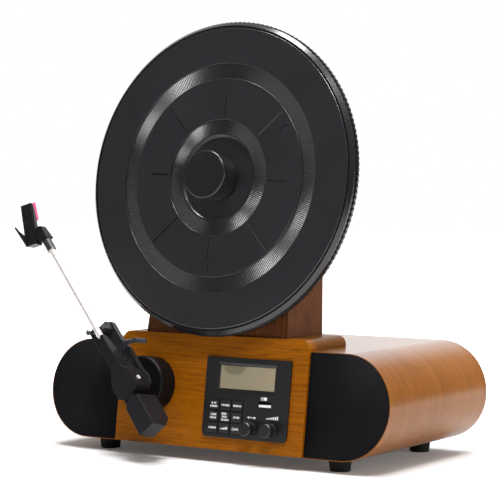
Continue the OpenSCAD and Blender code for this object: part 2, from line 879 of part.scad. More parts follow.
module platter_disc() {
    hub_r = 12;
    rim_in_r = belt_rim_r - 4;
    belt_rim_n = platter_back_n + 0.8;
    tip_r = platter_r + tooth_reach;
    root_r = tip_r - tooth_depth;
    bore_r = spindle_d / 2 + 0.01;
    color("#1f1f21") on_axis() {
        rotate_extrude($fn = 128) polygon([
            [bore_r, flange_t + flange_gap], [hub_r, flange_t + flange_gap], [hub_r, web_back_n],
            [rim_in_r, web_back_n], [rim_in_r, belt_rim_n], [belt_rim_r, belt_rim_n],
            [belt_rim_r, web_back_n], [skirt_r - skirt_t, web_back_n],
            [skirt_r - skirt_t, platter_back_n], [skirt_r, platter_back_n], [skirt_r, tooth_back_n],
            [root_r, tooth_back_n], [root_r, tooth_top_n], [platter_r, tooth_top_n],
            [platter_r, face_n - rim_chamfer], [platter_r - rim_chamfer, face_n],
            [moat_r, face_n], [moat_r, face_n - moat_depth], [mat_r, face_n - moat_depth],
            [mat_r, mat_back_n], [bore_r, mat_back_n]
        ]);
        translate([0, 0, tooth_back_n]) linear_extrude(tooth_band) difference() {
            polygon([for (i = [0:tooth_count * 2 - 1])
                let (r = i % 2 == 0 ? root_r : tip_r, turn = i * 180 / tooth_count)
                [r * cos(turn), r * sin(turn)]]);
            circle(root_r - 1, $fn = 128);
        }
    }
}

module platter_mat() {
    gap = 0.2;
    edge = 0.5;
    bore_r = spindle_d / 2 + gap;
    outer = mat_r - gap;
    color("#2a2a2c") on_axis() difference() {
        rotate_extrude($fn = 128) polygon([
            [bore_r, mat_back_n], [outer, mat_back_n], [outer, face_n - edge], [outer - edge, face_n],
            [outer_ring_r, face_n], [outer_ring_r, face_n - ring_depth],
            [outer_ring_in_r, face_n - ring_depth], [outer_ring_in_r, face_n],
            [inner_ring_r, face_n], [inner_ring_r, face_n - ring_depth],
            [well_r, face_n - ring_depth], [well_r - 1, face_n - 1.2 * ring_depth],
            [well_r - 3, well_n], [bore_r, well_n]
        ]);
        for (i = [0:7]) rotate([0, 0, 45 * i + groove_turn])
            span([groove_start_r, -groove_w / 2, face_n - groove_depth],
                [i % 2 == 0 ? groove_short_r : groove_long_r, groove_w / 2, face_n + past]);
        at_plugs() disc(plug_d / 2, mat_back_n - past, face_n + past);
    }
}

module at_plugs() {
    for (turn = plug_angles) rotate([0, 0, turn]) translate([plug_circle_r, 0, 0]) children();
}

module mat_plugs() {
    gap = 0.3;
    sunk = 0.4;
    color("#242426") on_axis() at_plugs() disc(plug_d / 2 - gap, mat_back_n, face_n - sunk);
}

module spindle() {
    tail_n = -barrel_l - 3;
    color("#c9ccd1") on_axis() difference() {
        union() {
            disc(spindle_d / 2, tail_n, well_n - 0.5);
            disc(nose_d / 2, tail_n, nose_tip_n - 1);
            translate([0, 0, nose_tip_n - 1.01])
                cylinder(r1 = nose_d / 2, r2 = nose_d / 2 - 0.8, h = 1.01, $fn = 48);
        }
        difference() {
            disc(spindle_d, -barrel_l - fit - clip_t - 0.1, -barrel_l - fit + 0.1);
            disc(spindle_d / 2 - 0.8, -barrel_l - 5, 0);
        }
    }
}

module spindle_clip() {
    color("#7d8086") on_axis() difference() {
        disc(7, -barrel_l - fit - clip_t, -barrel_l - fit);
        disc(spindle_d / 2 - 0.6, -big, 0);
        span([-1.5, 0, -big / 2], [1.5, big / 2, 0]);
    }
}

module record_clamp() {
    edge = 2;
    color("#1a1a1c") on_axis() rotate_extrude($fn = 96) polygon([
        [nose_d / 2 + 0.075, clamp_back_n], [clamp_body_r - 0.6, clamp_back_n],
        [clamp_body_r, clamp_back_n + 0.6], [clamp_body_r, clamp_front_n - clamp_grip_l - 1.4],
        [clamp_r, clamp_front_n - clamp_grip_l], [clamp_r, clamp_front_n - edge],
        for (turn = [15:15:75]) [clamp_r - edge + edge * cos(turn), clamp_front_n - edge + edge * sin(turn)],
        [clamp_r - edge, clamp_front_n], [0, clamp_front_n],
        [0, nose_tip_n + 1], [nose_d / 2 + 0.075, nose_tip_n + 1]
    ]);
}

module clamp_pad() {
    color("#101010") on_axis() difference() {
        disc(clamp_body_r - 0.6, well_n, clamp_back_n);
        disc(spindle_d / 2 + 2, well_n - past, clamp_back_n + past);
    }
}

// Outline of the panel, drawn in by an inset
module panel_outline(inset) {
    r = panel_corner_r - inset;
    x = [panel_x + inset, panel_x + panel_w - inset];
    s = [panel_s + inset, panel_s + panel_h - inset];
    translate([x[0], s[0] + r]) square([x[1] - x[0], s[1] - s[0] - 2 * r]);
    translate([x[0] + r, s[0]]) square([x[1] - x[0] - 2 * r, s[1] - s[0]]);
    for (at = [[x[0] + r, s[0] + r], [x[1] - r, s[0] + r]]) translate(at) circle(r);
    for (at = [x[0], x[1] - r]) translate([at, s[1] - r]) square([r, r]);
}

// Tapered recess round the display, from the panel's face down to the glass
module glass_recess() {
    top = panel_front_n + 0.01;
    low = glass_front_n;
    x = [glass_x, glass_x + glass_w];
    s = [glass_s, glass_s + glass_h];
    intersection() {
        translate([0, s[1] + 9, 0]) rotate([90, 0, 0]) linear_extrude(glass_h + 18) polygon([
            [x[0], low], [x[1], low], [x[1] + glass_slope, top], [x[0] - glass_slope, top]]);
        translate([x[0] - 9, 0, 0]) rotate([90, 0, 90]) linear_extrude(glass_w + 18) polygon([
            [s[0], low], [s[1], low], [s[1] + glass_slope, top], [s[0] - glass_slope, top]]);
    }
}

module control_bezel() {
    color("#131316") difference() {
        on_front() translate([0, 0, console_front_n]) linear_extrude(panel_t) panel_outline(0);
        on_front() {
            glass_recess();
            span([glass_x, glass_s, console_front_n - past],
                [glass_x + glass_w, glass_s + glass_h, glass_front_n + 0.01]);
            for (i = [0:8]) translate(key_centre(i)) linear_extrude(panel_front_n + past)
                square([key_w + 2 * fit, key_h + 2 * fit], center = true);
            span([usb_x - screw_fit, usb_s - screw_fit, 0],
                [usb_x + usb_w + screw_fit, usb_s + usb_h + screw_fit, panel_front_n + past]);
        }
        for (i = [0, 1]) at_knob(i) disc(knob_shaft_r + 0.5, 0, panel_front_n + past);
    }
}

module lcd_window() {
    color("#a79a6a") on_front() span([glass_x + 0.2, glass_s + 0.2, glass_front_n - glass_t],
        [glass_x + glass_w - 0.2, glass_s + glass_h - 0.2, glass_front_n]);
}

module lcd_module() {
    margin = 2.5;
    color("#c9c6b8") on_front() {
        span([glass_x - margin, glass_s - margin, board_front_n],
            [glass_x + glass_w + margin, glass_s + glass_h + margin, glass_front_n - glass_t]);
    }
}

module control_board() {
    color("#1f5c34") on_front() {
        difference() {
            span([panel_x + 4, panel_s + 4, board_n],
                [panel_x + panel_w - 4, panel_s + panel_h - 4, board_front_n]);
            for (i = [0, 1]) translate([knob_x + i * knob_spacing, knob_s, 0])
                disc(knob_shaft_r + fit, board_n - past, board_front_n + past);
            span([usb_x - fit, usb_s - fit, board_n - past],
                [usb_x + usb_w + fit, usb_s + usb_h + fit, board_front_n + past]);
        }
        for (i = [0:8]) translate(key_centre(i)) difference() {
            disc(3, board_front_n - 0.01, key_back_n - key_travel - fit);
            disc(key_stem_r + 0.2, board_front_n, key_back_n);
        }
        // Solder side: the tuner's screening can
        span([panel_x + 12, panel_s + 20, board_n - 6], [panel_x + 44, panel_s + 44, board_n + 0.01]);
    }
}

module usb_socket() {
    t = usb_shell_t;
    tongue_gap = 1;
    tongue_t = 2.2;
    color("#e4e4e2") on_front() {
        difference() {
            span([usb_x, usb_s, panel_front_n - usb_l], [usb_x + usb_w, usb_s + usb_h, panel_front_n]);
            span([usb_x + t, usb_s + t, panel_front_n - usb_l + 2],
                [usb_x + usb_w - t, usb_s + usb_h - t, panel_front_n + past]);
        }
        span([usb_x + tongue_gap, usb_s + tongue_gap, panel_front_n - usb_l + 1],
            [usb_x + usb_w - tongue_gap, usb_s + tongue_gap + tongue_t, panel_front_n - 0.6]);
    }
}

// Body of a rotary control, with a bushing that carries the knob's shaft
module rotary_body(i, width) {
    at_knob(i) difference() {
        union() {
            translate([0, 0, board_front_n]) linear_extrude(console_front_n - 1 - board_front_n)
                square(width, center = true);
            disc(knob_shaft_r + 0.4, board_front_n, panel_front_n);
        }
        disc(knob_shaft_r - 1 + shaft_fit, board_n, panel_front_n + past);
    }
}

module tune_encoder() {
    color("#5c6068") rotary_body(0, 11.4);
}

module volume_control() {
    color("#6a5a40") rotary_body(1, 11.4);
}

// Knob with a shaft, an edge rounding and a grip of fine flutes
module control_knob(i) {
    flutes = 30;
    r = knob_d / 2;
    top = knob_back_n + knob_h - free_gap;
    color("#151517") at_knob(i) {
        difference() {
            rotate_extrude($fn = 64) polygon([
                [0, knob_back_n], [r, knob_back_n], [r, knob_back_n + 1.2], [r - 0.35, knob_back_n + 1.6],
                [r - 0.35, top - 0.8], [r - 1.15, top], [0, top]
            ]);
            for (i = [0:flutes - 1]) rotate([0, 0, i * 360 / flutes]) translate([r - 0.1, 0, 0])
                disc(0.45, knob_back_n + 1.6, top + past, $fn = 16);
        }
        disc(knob_shaft_r - 1, board_front_n, knob_back_n + 0.01);
    }
}

module tune_knob() {
    control_knob(0);
}

module volume_knob() {
    control_knob(1);
}

// Key cap with its stem; its front edges are stepped in
module key(i) {
    step = 0.4;
    color("#1b1b1f") on_front() translate(key_centre(i)) {
        translate([0, 0, key_back_n]) linear_extrude(key_front_n - step - key_back_n)
            square([key_w, key_h], center = true);
        translate([0, 0, key_front_n - step - 0.01]) linear_extrude(step + 0.01)
            square([key_w - 2 * step, key_h - 2 * step], center = true);
        disc(key_stem_r, stem_end_n, key_back_n + 0.01);
    }
}

module key_1() {
    key(0);
}

module key_2() {
    key(1);
}

module key_3() {
    key(2);
}

module key_4() {
    key(3);
}

module key_5() {
    key(4);
}

module key_6() {
    key(5);
}

module key_7() {
    key(6);
}

module key_8() {
    key(7);
}

module key_9() {
    key(8);
}

// Places children at the arm base's screws, which come through the console's front board
module at_base_screws() {
    on_arm() for (turn = [90, 210, 330]) rotate([0, 0, turn])
        translate([base_r * 0.7, 0, console_inner_n]) rotate([180, 0, 0]) children();
}

module arm_base() {
    lip = 1.5;
    color("#1c1c1e") difference() {
        on_arm() rotate_extrude($fn = 96) polygon([
            [post_r + shaft_fit, console_front_n + 3], [post_r + shaft_fit, base_top_n],
            [base_r - lip, base_top_n], [base_r, base_top_n - lip], [base_r, console_front_n],
            [0, console_front_n], [0, console_front_n + 3]
        ]);
        at_base_screws() disc(wood_screw[0] + screw_fit, -console_front_t - 6.2, 0);
    }
}

// Plate that carries the arm rest and the cueing lever, fixed on the arm base
module rest_bracket() {
    top_n = bracket_top_n;
    low_n = base_top_n;
    left = -5.5;
    right = 8.3;
    wide_right = 10.6;
    end_u = 63.6;
    end_r = 5;
    lip_t = 1.2;
    lip_h = 1.6;
    // The lever's rod swings through this much of the lips on either side of its pin
    lip_gap = 7;
    prong_v = tube_v + tube_r + 0.5;
    prong_t = 1.9;
    ear_u = latch_w / 2 + fit;
    ear_t = 1.1;
    // The arm dips this far over the seat when it is lowered at rest, and clears it
    seat_drop = (latch_u - pivot_u) * sin(lift_down) + 2.6;
    color("#232326") on_arm() {
        difference() {
            union() {
                span([left, -8, low_n], [right, end_u - end_r, top_n]);
                for (v = [left + end_r, right - end_r]) translate([v, end_u - end_r, 0])
                    disc(end_r, low_n, top_n);
                span([left + end_r, end_u - end_r, low_n], [right - end_r, end_u - 0.01, top_n]);
                span([right - 0.1, -8, low_n], [wide_right, lever_u - 2, top_n]);
                translate([wide_right - end_r, lever_u - 2, 0]) disc(end_r, low_n, top_n);
                disc(turret_r + free_gap + 3.4, low_n, top_n);
                span([cheek_v, 34, low_n], [left + 0.1, latch_u, top_n]);
            }
            disc(turret_r + free_gap, low_n - past, top_n + past);
            translate([cue_v, cue_u, 0]) disc(cue_r + shaft_fit, low_n - past, top_n + past);
        }
        // Raised lips along the right edges
        span([wide_right - lip_t, -7.5, top_n - 0.01], [wide_right, lever_u - 5, top_n + lip_h]);
        span([right - lip_t, lever_u + lip_gap, top_n - 0.01], [right, end_u - end_r, top_n + lip_h]);
        // Cheek on the left of the arm, with a notch in its upper edge
        difference() {
            span([cheek_v, 36, top_n - 0.01], [cheek_v + cheek_t, latch_u, tube_n - 2]);
            span([cheek_v - past, 43.4, tube_n - 3], [cheek_v + past + cheek_t, 44.6, tube_n]);
        }
        // Guide of the cueing pin
        translate([cue_v, cue_u, 0]) difference() {
            disc(3.4, top_n - 0.01, top_n + 1.8);
            disc(cue_r + shaft_fit, low_n, top_n + 3);
        }
        // Pin that the cueing lever turns on
        translate([lever_v, lever_u, 0]) disc(lever_pin_r, top_n - 0.01, lever_n + lever_r + 1);
        // Arm rest: a seat, a low right prong that the arm passes over, and the latch's two ears
        span([latch_v - 1.4, latch_u - 4, top_n - 0.01],
            [prong_v + prong_t, latch_u + 4, tube_n - tube_r - seat_drop]);
        span([prong_v, latch_u - 4, top_n - 0.01],
            [prong_v + prong_t, latch_u, tube_n - tube_r - 0.7]);
        for (side = [-1, 1]) difference() {
            span([latch_v - 1.4, latch_u + side * (ear_u + ear_t / 2) - ear_t / 2, top_n - 0.01],
                [latch_v + 1.2, latch_u + side * (ear_u + ear_t / 2) + ear_t / 2, latch_n + 1.1]);
            translate([latch_v, latch_u + 9, latch_n]) rotate([90, 0, 0]) disc(latch_pin_r, 0, 18, $fn = 24);
        }
        translate([latch_v, latch_u, latch_n]) rotate([90, 0, 0])
            disc(latch_pin_r, -ear_u - ear_t + 0.2, ear_u + ear_t - 0.2, $fn = 24);
    }
}

// Latch that hooks over the resting arm's tube; open in the photographed pose
latch_lean = 25;
module rest_latch() {
    half = latch_w / 2;
    reach = 7.6;
    hook = 3.9;
    color("#17171a") on_arm() translate([latch_v, latch_u, latch_n]) rotate([0, -latch_lean, 0])
        difference() {
            union() {
                rotate([90, 0, 0]) disc(1.1, -half, half, $fn = 32);
                span([-latch_t / 2, -half, 0], [latch_t / 2, half, reach]);
                span([-latch_t / 2, -half, reach - 0.01], [hook, half, reach + 1]);
            }
            rotate([90, 0, 0]) disc(latch_pin_r + shaft_fit, -half - past, half + past, $fn = 24);
        }
}

// Lever that raises the cueing pin: a hub on its pin and a bent rod with a blunt end
lever_path = [[1.6, 3.3], [13.4, -3.3], [21.5, -10.4]];
module cue_lever() {
    knee_r = lever_r + 0.15;
    tip = 0.7;
    color("#1a1a1d") on_arm() translate([lever_v, lever_u, lever_n]) difference() {
        union() {
            disc(lever_hub_r, -lever_r - 0.6, lever_r + 0.2);
            for (i = [0, 1]) {
                step = lever_path[i + 1] - lever_path[i];
                translate(lever_path[i]) rotate([0, 0, atan2(step[1], step[0])]) rotate([0, 90, 0]) {
                    disc(lever_r, 0, norm(step), $fn = 32);
                    translate([0, 0, norm(step) - 0.01])
                        cylinder(r1 = lever_r, r2 = lever_r - tip, h = tip, $fn = 32);
                }
            }
            translate(lever_path[1]) disc(knee_r, -knee_r, knee_r, $fn = 32);
        }
        disc(lever_pin_r + shaft_fit, -big / 9, big / 9);
    }
}

module cue_pin() {
    color("#8d9096") on_arm() translate([cue_v, cue_u, 0]) {
        disc(cue_r, base_top_n + 0.5, cue_pin_top_n - 0.8);
        disc(2.4, cue_pin_top_n - 0.81, cue_pin_top_n);
    }
}

// Block of the turret that the arm's lift pivot goes through, let out by a gap
module turret_neck(gap) {
    r = neck_l / 2 + gap;
    span([-neck_w / 2 - gap, pivot_u - r, bracket_top_n + free_gap],
        [neck_w / 2 + gap, pivot_u + r, pivot_n]);
    translate([-neck_w / 2 - gap, pivot_u, pivot_n]) rotate([0, 90, 0]) disc(r, 0, neck_w + 2 * gap);
}

module arm_turret() {
    color("#1a1a1d") on_arm() difference() {
        union() {
            disc(post_r, console_front_n + 3.5, base_top_n + 1);
            disc(turret_r, base_top_n + fit, turret_top_n);
            turret_neck(0);
        }
        translate([-20, pivot_u, pivot_n]) rotate([0, 90, 0]) disc(1.25, 0, 40, $fn = 32);
    }
}

// Turns children about the lift pivot, head up
module lifted(angle) {
    translate([0, pivot_u, pivot_n]) rotate([angle, 0, 0]) translate([0, -pivot_u, -pivot_n]) children();
}

module arm_housing() {
    left = housing_left;
    right = housing_right;
    nose_v = 6.6;
    neck_start_u = 10;
    neck_rise = 4.3;
    neck_half = neck_end_w / 2;
    color("#18181b") on_arm() difference() {
        union() {
            // Wide body round the turret, drawn in towards its tail
            translate([0, 0, housing_back_n]) linear_extrude(housing_front_n - housing_back_n) polygon([
                [nose_v - housing_nose_w, housing_nose_u], [left * 0.8, housing_nose_u * 0.38],
                [left, housing_tail_u * 0.15], [left * 0.94, housing_tail_u * 0.79],
                [left * 0.62, housing_tail_u], [right * 0.7, housing_tail_u],
                [right, housing_tail_u * 0.86], [right, housing_nose_u * 0.17],
                [right * 0.67, housing_nose_u * 0.76], [nose_v, housing_nose_u]
            ]);
            // Neck: seen from the side it thins towards the tube
            intersection() {
                translate([-9, 0, 0]) rotate([90, 0, 90]) linear_extrude(20) polygon([
                    [neck_start_u, neck_under_n], [neck_end_u, neck_under_n + neck_rise],
                    [neck_end_u, tube_n + neck_end_w * 0.45], [neck_end_u * 0.7, tube_n + neck_rise],
                    [housing_nose_u + 1.3, housing_front_n], [neck_start_u, housing_front_n]
                ]);
                linear_extrude(big / 2) polygon([
                    [nose_v + 0.2 - neck_start_w, neck_start_u], [nose_v + 0.2, neck_start_u],
                    [nose_v, neck_end_u * 0.54], [tube_v + neck_half + 0.8, neck_end_u - 2],
                    [tube_v + neck_half, neck_end_u], [tube_v - neck_half, neck_end_u],
                    [tube_v - neck_half - 0.8, neck_end_u - 2]
                ]);
            }
            // Link to the counterweight behind the body
            span([weight_v - 4, weight_start_u, tube_n - 8], [weight_v + 4, -14, tube_n + 5]);
        }
        for (angle = [-lift_down, 0, lift_up]) lifted(-angle) turret_neck(free_gap);
        translate([-20, pivot_u, pivot_n]) rotate([0, 90, 0]) disc(1.25, 0, 40, $fn = 32);
        translate([tube_v, 0, tube_n]) rotate([-90, 0, 0])
            disc(tube_r, tube_start_u, neck_end_u + past);
    }
}

module arm_tube() {
    color("#c8b9b5") on_arm() translate([tube_v, 0, tube_n]) rotate([-90, 0, 0]) difference() {
        union() {
            disc(tube_r, tube_start_u, collar_end_u);
            disc(collar_r, collar_start_u, collar_end_u);
        }
        disc(tube_r - 0.9, tube_start_u - past, collar_end_u + past);
    }
}

// Draws children from the headshell's rear left corner: across it, along it and outward
module on_head() {
    on_arm() translate([head_v, arm_reach, 0]) rotate([0, 0, -head_angle]) children();
}

module headshell() {
    plate_n = head_front_n - 3;
    color("#1b1b1d") {
        difference() {
            union() {
                on_head() span([0, 0, plate_n], [head_w, head_l, head_front_n]);
                on_head() span([1, 0, tube_n - 4], [head_w - 0.4, 5, plate_n + 0.01]);
            }
            on_head() for (x = [2.4, head_w - 2.4]) translate([x, head_l - 10, plate_n - past])
                disc(1.2, 0, 9, $fn = 24);
        }
        // Socket block that the collar screws onto, thinner towards the head
        on_arm() intersection() {
            linear_extrude(big / 2) polygon([
                [tube_v - 4, collar_end_u], [tube_v + 4.6, collar_end_u],
                [tube_v + 4.9, socket_end_u - 2], [tube_v + 2, socket_end_u], [-4, socket_end_u],
                [-6, socket_end_u - 4], [-3.2, socket_end_u - 6.5]
            ]);
            translate([-big / 2, 0, 0]) rotate([90, 0, 90]) linear_extrude(big) polygon([
                [collar_end_u, tube_n - 5], [socket_end_u, tube_n - 1], [socket_end_u, tube_n + 5],
                [collar_end_u, tube_n + 5]
            ]);
        }
        // Finger lift: a thin blade on the left side
        on_head() rotate([90, 0, 90]) linear_extrude(lift_blade_t)
            polygon([
                [0.5, tube_n - 2], [0.5, head_front_n - 0.5], [15.9, head_front_n + 12.6],
                [16.9, head_front_n + 12], [12.9, head_front_n + 7], [10, head_front_n + 0.5],
                [10, tube_n - 2]
            ]);
    }
}

// Cartridge: a body that thins towards its front, from the headshell's plate down
module cartridge() {
    side = lift_blade_t + 0.1;
    top_n = head_front_n - 3;
    color("#3c3c40") on_head() translate([side, 0, 0]) rotate([90, 0, 90])
        linear_extrude(head_w - side - 2.6) polygon([
            [6, top_n], [6, tube_n - 4.5], [head_l - 13.5, tube_n - 3.7],
            [head_l - 0.4, tube_n - 1.6], [head_l - 0.4, top_n]
        ]);
}

module stylus() {
    wide = 6;
    color("#e0507f") on_head() {
        translate([head_w / 2 - wide / 2, 0, 0]) rotate([90, 0, 90]) linear_extrude(wide) polygon([
            [head_l - 13.8, tube_n - 6.6], [head_l - 13.5, tube_n - 3.7], [head_l - 0.4, tube_n - 1.6],
            [head_l + 1.3, tube_n - 1.3], [head_l + 3, tube_n - 4.6]
        ]);
        translate([head_w / 2, head_l + 1.5, stylus_tip_n])
            cylinder(r1 = 0.3, r2 = 0.8, h = tube_n - 3.5 - stylus_tip_n, $fn = 24);
    }
}

module counterweight() {
    end_u = weight_start_u - weight_l;
    half = weight_w / 2;
    color("#141416") on_arm() intersection() {
        translate([weight_v - half, 0, 0]) rotate([90, 0, 90]) linear_extrude(weight_w) polygon([
            [weight_start_u, weight_back_n], [end_u + 6, weight_back_n], [end_u - 2, weight_back_n + 10],
            [end_u, weight_front_n], [weight_start_u, weight_front_n]
        ]);
        linear_extrude(big / 2) polygon([
            [weight_v - half + 4, weight_start_u], [weight_v - half + 0.8, weight_start_u - 4.5],
            [weight_v - half, end_u - 3], [weight_v + half, end_u - 3], [weight_v + half, weight_start_u]
        ]);
    }
}

module arm_pivot_screws() {
    color("silver") on_arm() translate([0, pivot_u, pivot_n]) for (side = [-1, 1])
        rotate([0, side * 90, 0]) {
            edge = side > 0 ? housing_right : -housing_left;
            disc(1.2, 1, edge + 0.01);
            disc(2, edge, edge + 0.9);
        }
}

cabinet_shell();
rear_panel();
rubber_feet();
foot_screws();
speaker_baffles();
grille_frames();
grille_cloths();
speaker_frames();
speaker_cones();
speaker_screws();
console_body();
pillar_shell();
pillar_cover();
wood_screws();
rear_jacks();
amplifier_board();
bearing_housing();
bearing_bushes();
drive_motor();
drive_screws();
motor_pulley();
drive_belt();
platter_disc();
platter_mat();
mat_plugs();
spindle();
spindle_clip();
record_clamp();
clamp_pad();
control_bezel();
lcd_window();
lcd_module();
control_board();
usb_socket();
tune_encoder();
volume_control();
tune_knob();
volume_knob();
key_1();
key_2();
key_3();
key_4();
key_5();
key_6();
key_7();
key_8();
key_9();
arm_base();
rest_bracket();
rest_latch();
cue_lever();
cue_pin();
arm_turret();
arm_housing();
arm_tube();
headshell();
cartridge();
stylus();
counterweight();
arm_pivot_screws();
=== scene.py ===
"""Looks of the vertical record player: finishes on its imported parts, and the fine pieces on them."""

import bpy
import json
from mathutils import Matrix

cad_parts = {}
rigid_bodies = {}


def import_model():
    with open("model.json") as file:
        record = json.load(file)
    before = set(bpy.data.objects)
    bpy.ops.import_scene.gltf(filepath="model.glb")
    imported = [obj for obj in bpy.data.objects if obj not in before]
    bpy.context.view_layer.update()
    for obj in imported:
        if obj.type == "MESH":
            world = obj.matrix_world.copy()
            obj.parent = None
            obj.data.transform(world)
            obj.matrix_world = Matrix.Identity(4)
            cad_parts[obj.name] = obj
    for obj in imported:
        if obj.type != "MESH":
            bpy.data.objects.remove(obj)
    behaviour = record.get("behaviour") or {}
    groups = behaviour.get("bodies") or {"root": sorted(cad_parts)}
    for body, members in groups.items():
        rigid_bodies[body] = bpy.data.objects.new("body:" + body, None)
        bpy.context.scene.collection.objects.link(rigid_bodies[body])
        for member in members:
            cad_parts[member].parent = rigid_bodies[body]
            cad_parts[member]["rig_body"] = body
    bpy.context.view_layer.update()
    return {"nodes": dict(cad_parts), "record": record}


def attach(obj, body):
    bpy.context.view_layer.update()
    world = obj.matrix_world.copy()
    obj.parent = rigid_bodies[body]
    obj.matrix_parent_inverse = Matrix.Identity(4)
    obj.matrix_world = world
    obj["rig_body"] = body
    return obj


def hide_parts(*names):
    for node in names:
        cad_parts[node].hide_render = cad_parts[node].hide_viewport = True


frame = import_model()

import json
import logging
import math
from dataclasses import dataclass
from enum import Enum

import bmesh
import bpy
from mathutils import Matrix, Vector

LOG = logging.getLogger("record_player")
Colour = tuple[float, float, float]
MM = 0.001

# Slant of the console's front, and where its lower edge runs
LEAN = math.radians(8)
FRONT_Y = -89 * MM
FRONT_Z = 11 * MM
OUTWARD = Vector((0, -math.cos(LEAN), math.sin(LEAN)))
# Right, up the slope and outward, from the front's lower edge
ON_FRONT = Matrix.Translation((0, FRONT_Y, FRONT_Z)) @ Matrix.Rotation(math.radians(90) - LEAN, 4, "X")
# The same directions, round the platter's axis
PLATTER_S = 233.46 * MM
ON_AXIS = ON_FRONT @ Matrix.Translation((0, PLATTER_S, 0))
# Across, along and outward of the resting arm, from its turret
ON_ARM = ON_FRONT @ Matrix.Translation((-61 * MM, 52 * MM, 0)) @ Matrix.Rotation(math.radians(40.5), 4, "Z")
ARM_WAY = ON_ARM.to_3x3() @ Vector((0, 1, 0))
COLLAR_START = ON_ARM @ Vector((0, 146 * MM, 0))
# The platter's smooth rim, and the front face of its teeth
PLATTER_R = 136.5 * MM
TOOTH_FRONT = 11.6 * MM


class Signal:
    """A number that changes over a surface, with Python's operators on it."""

    def __init__(self, dress: "Dress", socket: bpy.types.NodeSocket) -> None:
        """Wraps one output socket of a material under construction.

        Args:
            dress: The material that the socket belongs to.
            socket: The output that carries the number.
        """
        self.dress = dress
        self.socket = socket

    def __add__(self, other: "Number") -> "Signal":
        """Sum."""
        return self.dress.math("ADD", self, other)

    def __radd__(self, other: "Number") -> "Signal":
        """Sum, from the right."""
        return self.dress.math("ADD", other, self)

    def __sub__(self, other: "Number") -> "Signal":
        """Difference."""
        return self.dress.math("SUBTRACT", self, other)

    def __rsub__(self, other: "Number") -> "Signal":
        """Difference, from the right."""
        return self.dress.math("SUBTRACT", other, self)

    def __mul__(self, other: "Number") -> "Signal":
        """Product."""
        return self.dress.math("MULTIPLY", self, other)

    def __rmul__(self, other: "Number") -> "Signal":
        """Product, from the right."""
        return self.dress.math("MULTIPLY", other, self)

    def __truediv__(self, other: "Number") -> "Signal":
        """Quotient."""
        return self.dress.math("DIVIDE", self, other)

    def __pow__(self, other: "Number") -> "Signal":
        """Power."""
        return self.dress.math("POWER", self, other)


Number = Signal | float


class Grain(Enum):
    """The way that a veneer's fibres run."""

    ACROSS_FRONT = "across the console"
    UP_SLOPE = "up the pillar"
    ROUND_SHELL = "round the cabinet's section"


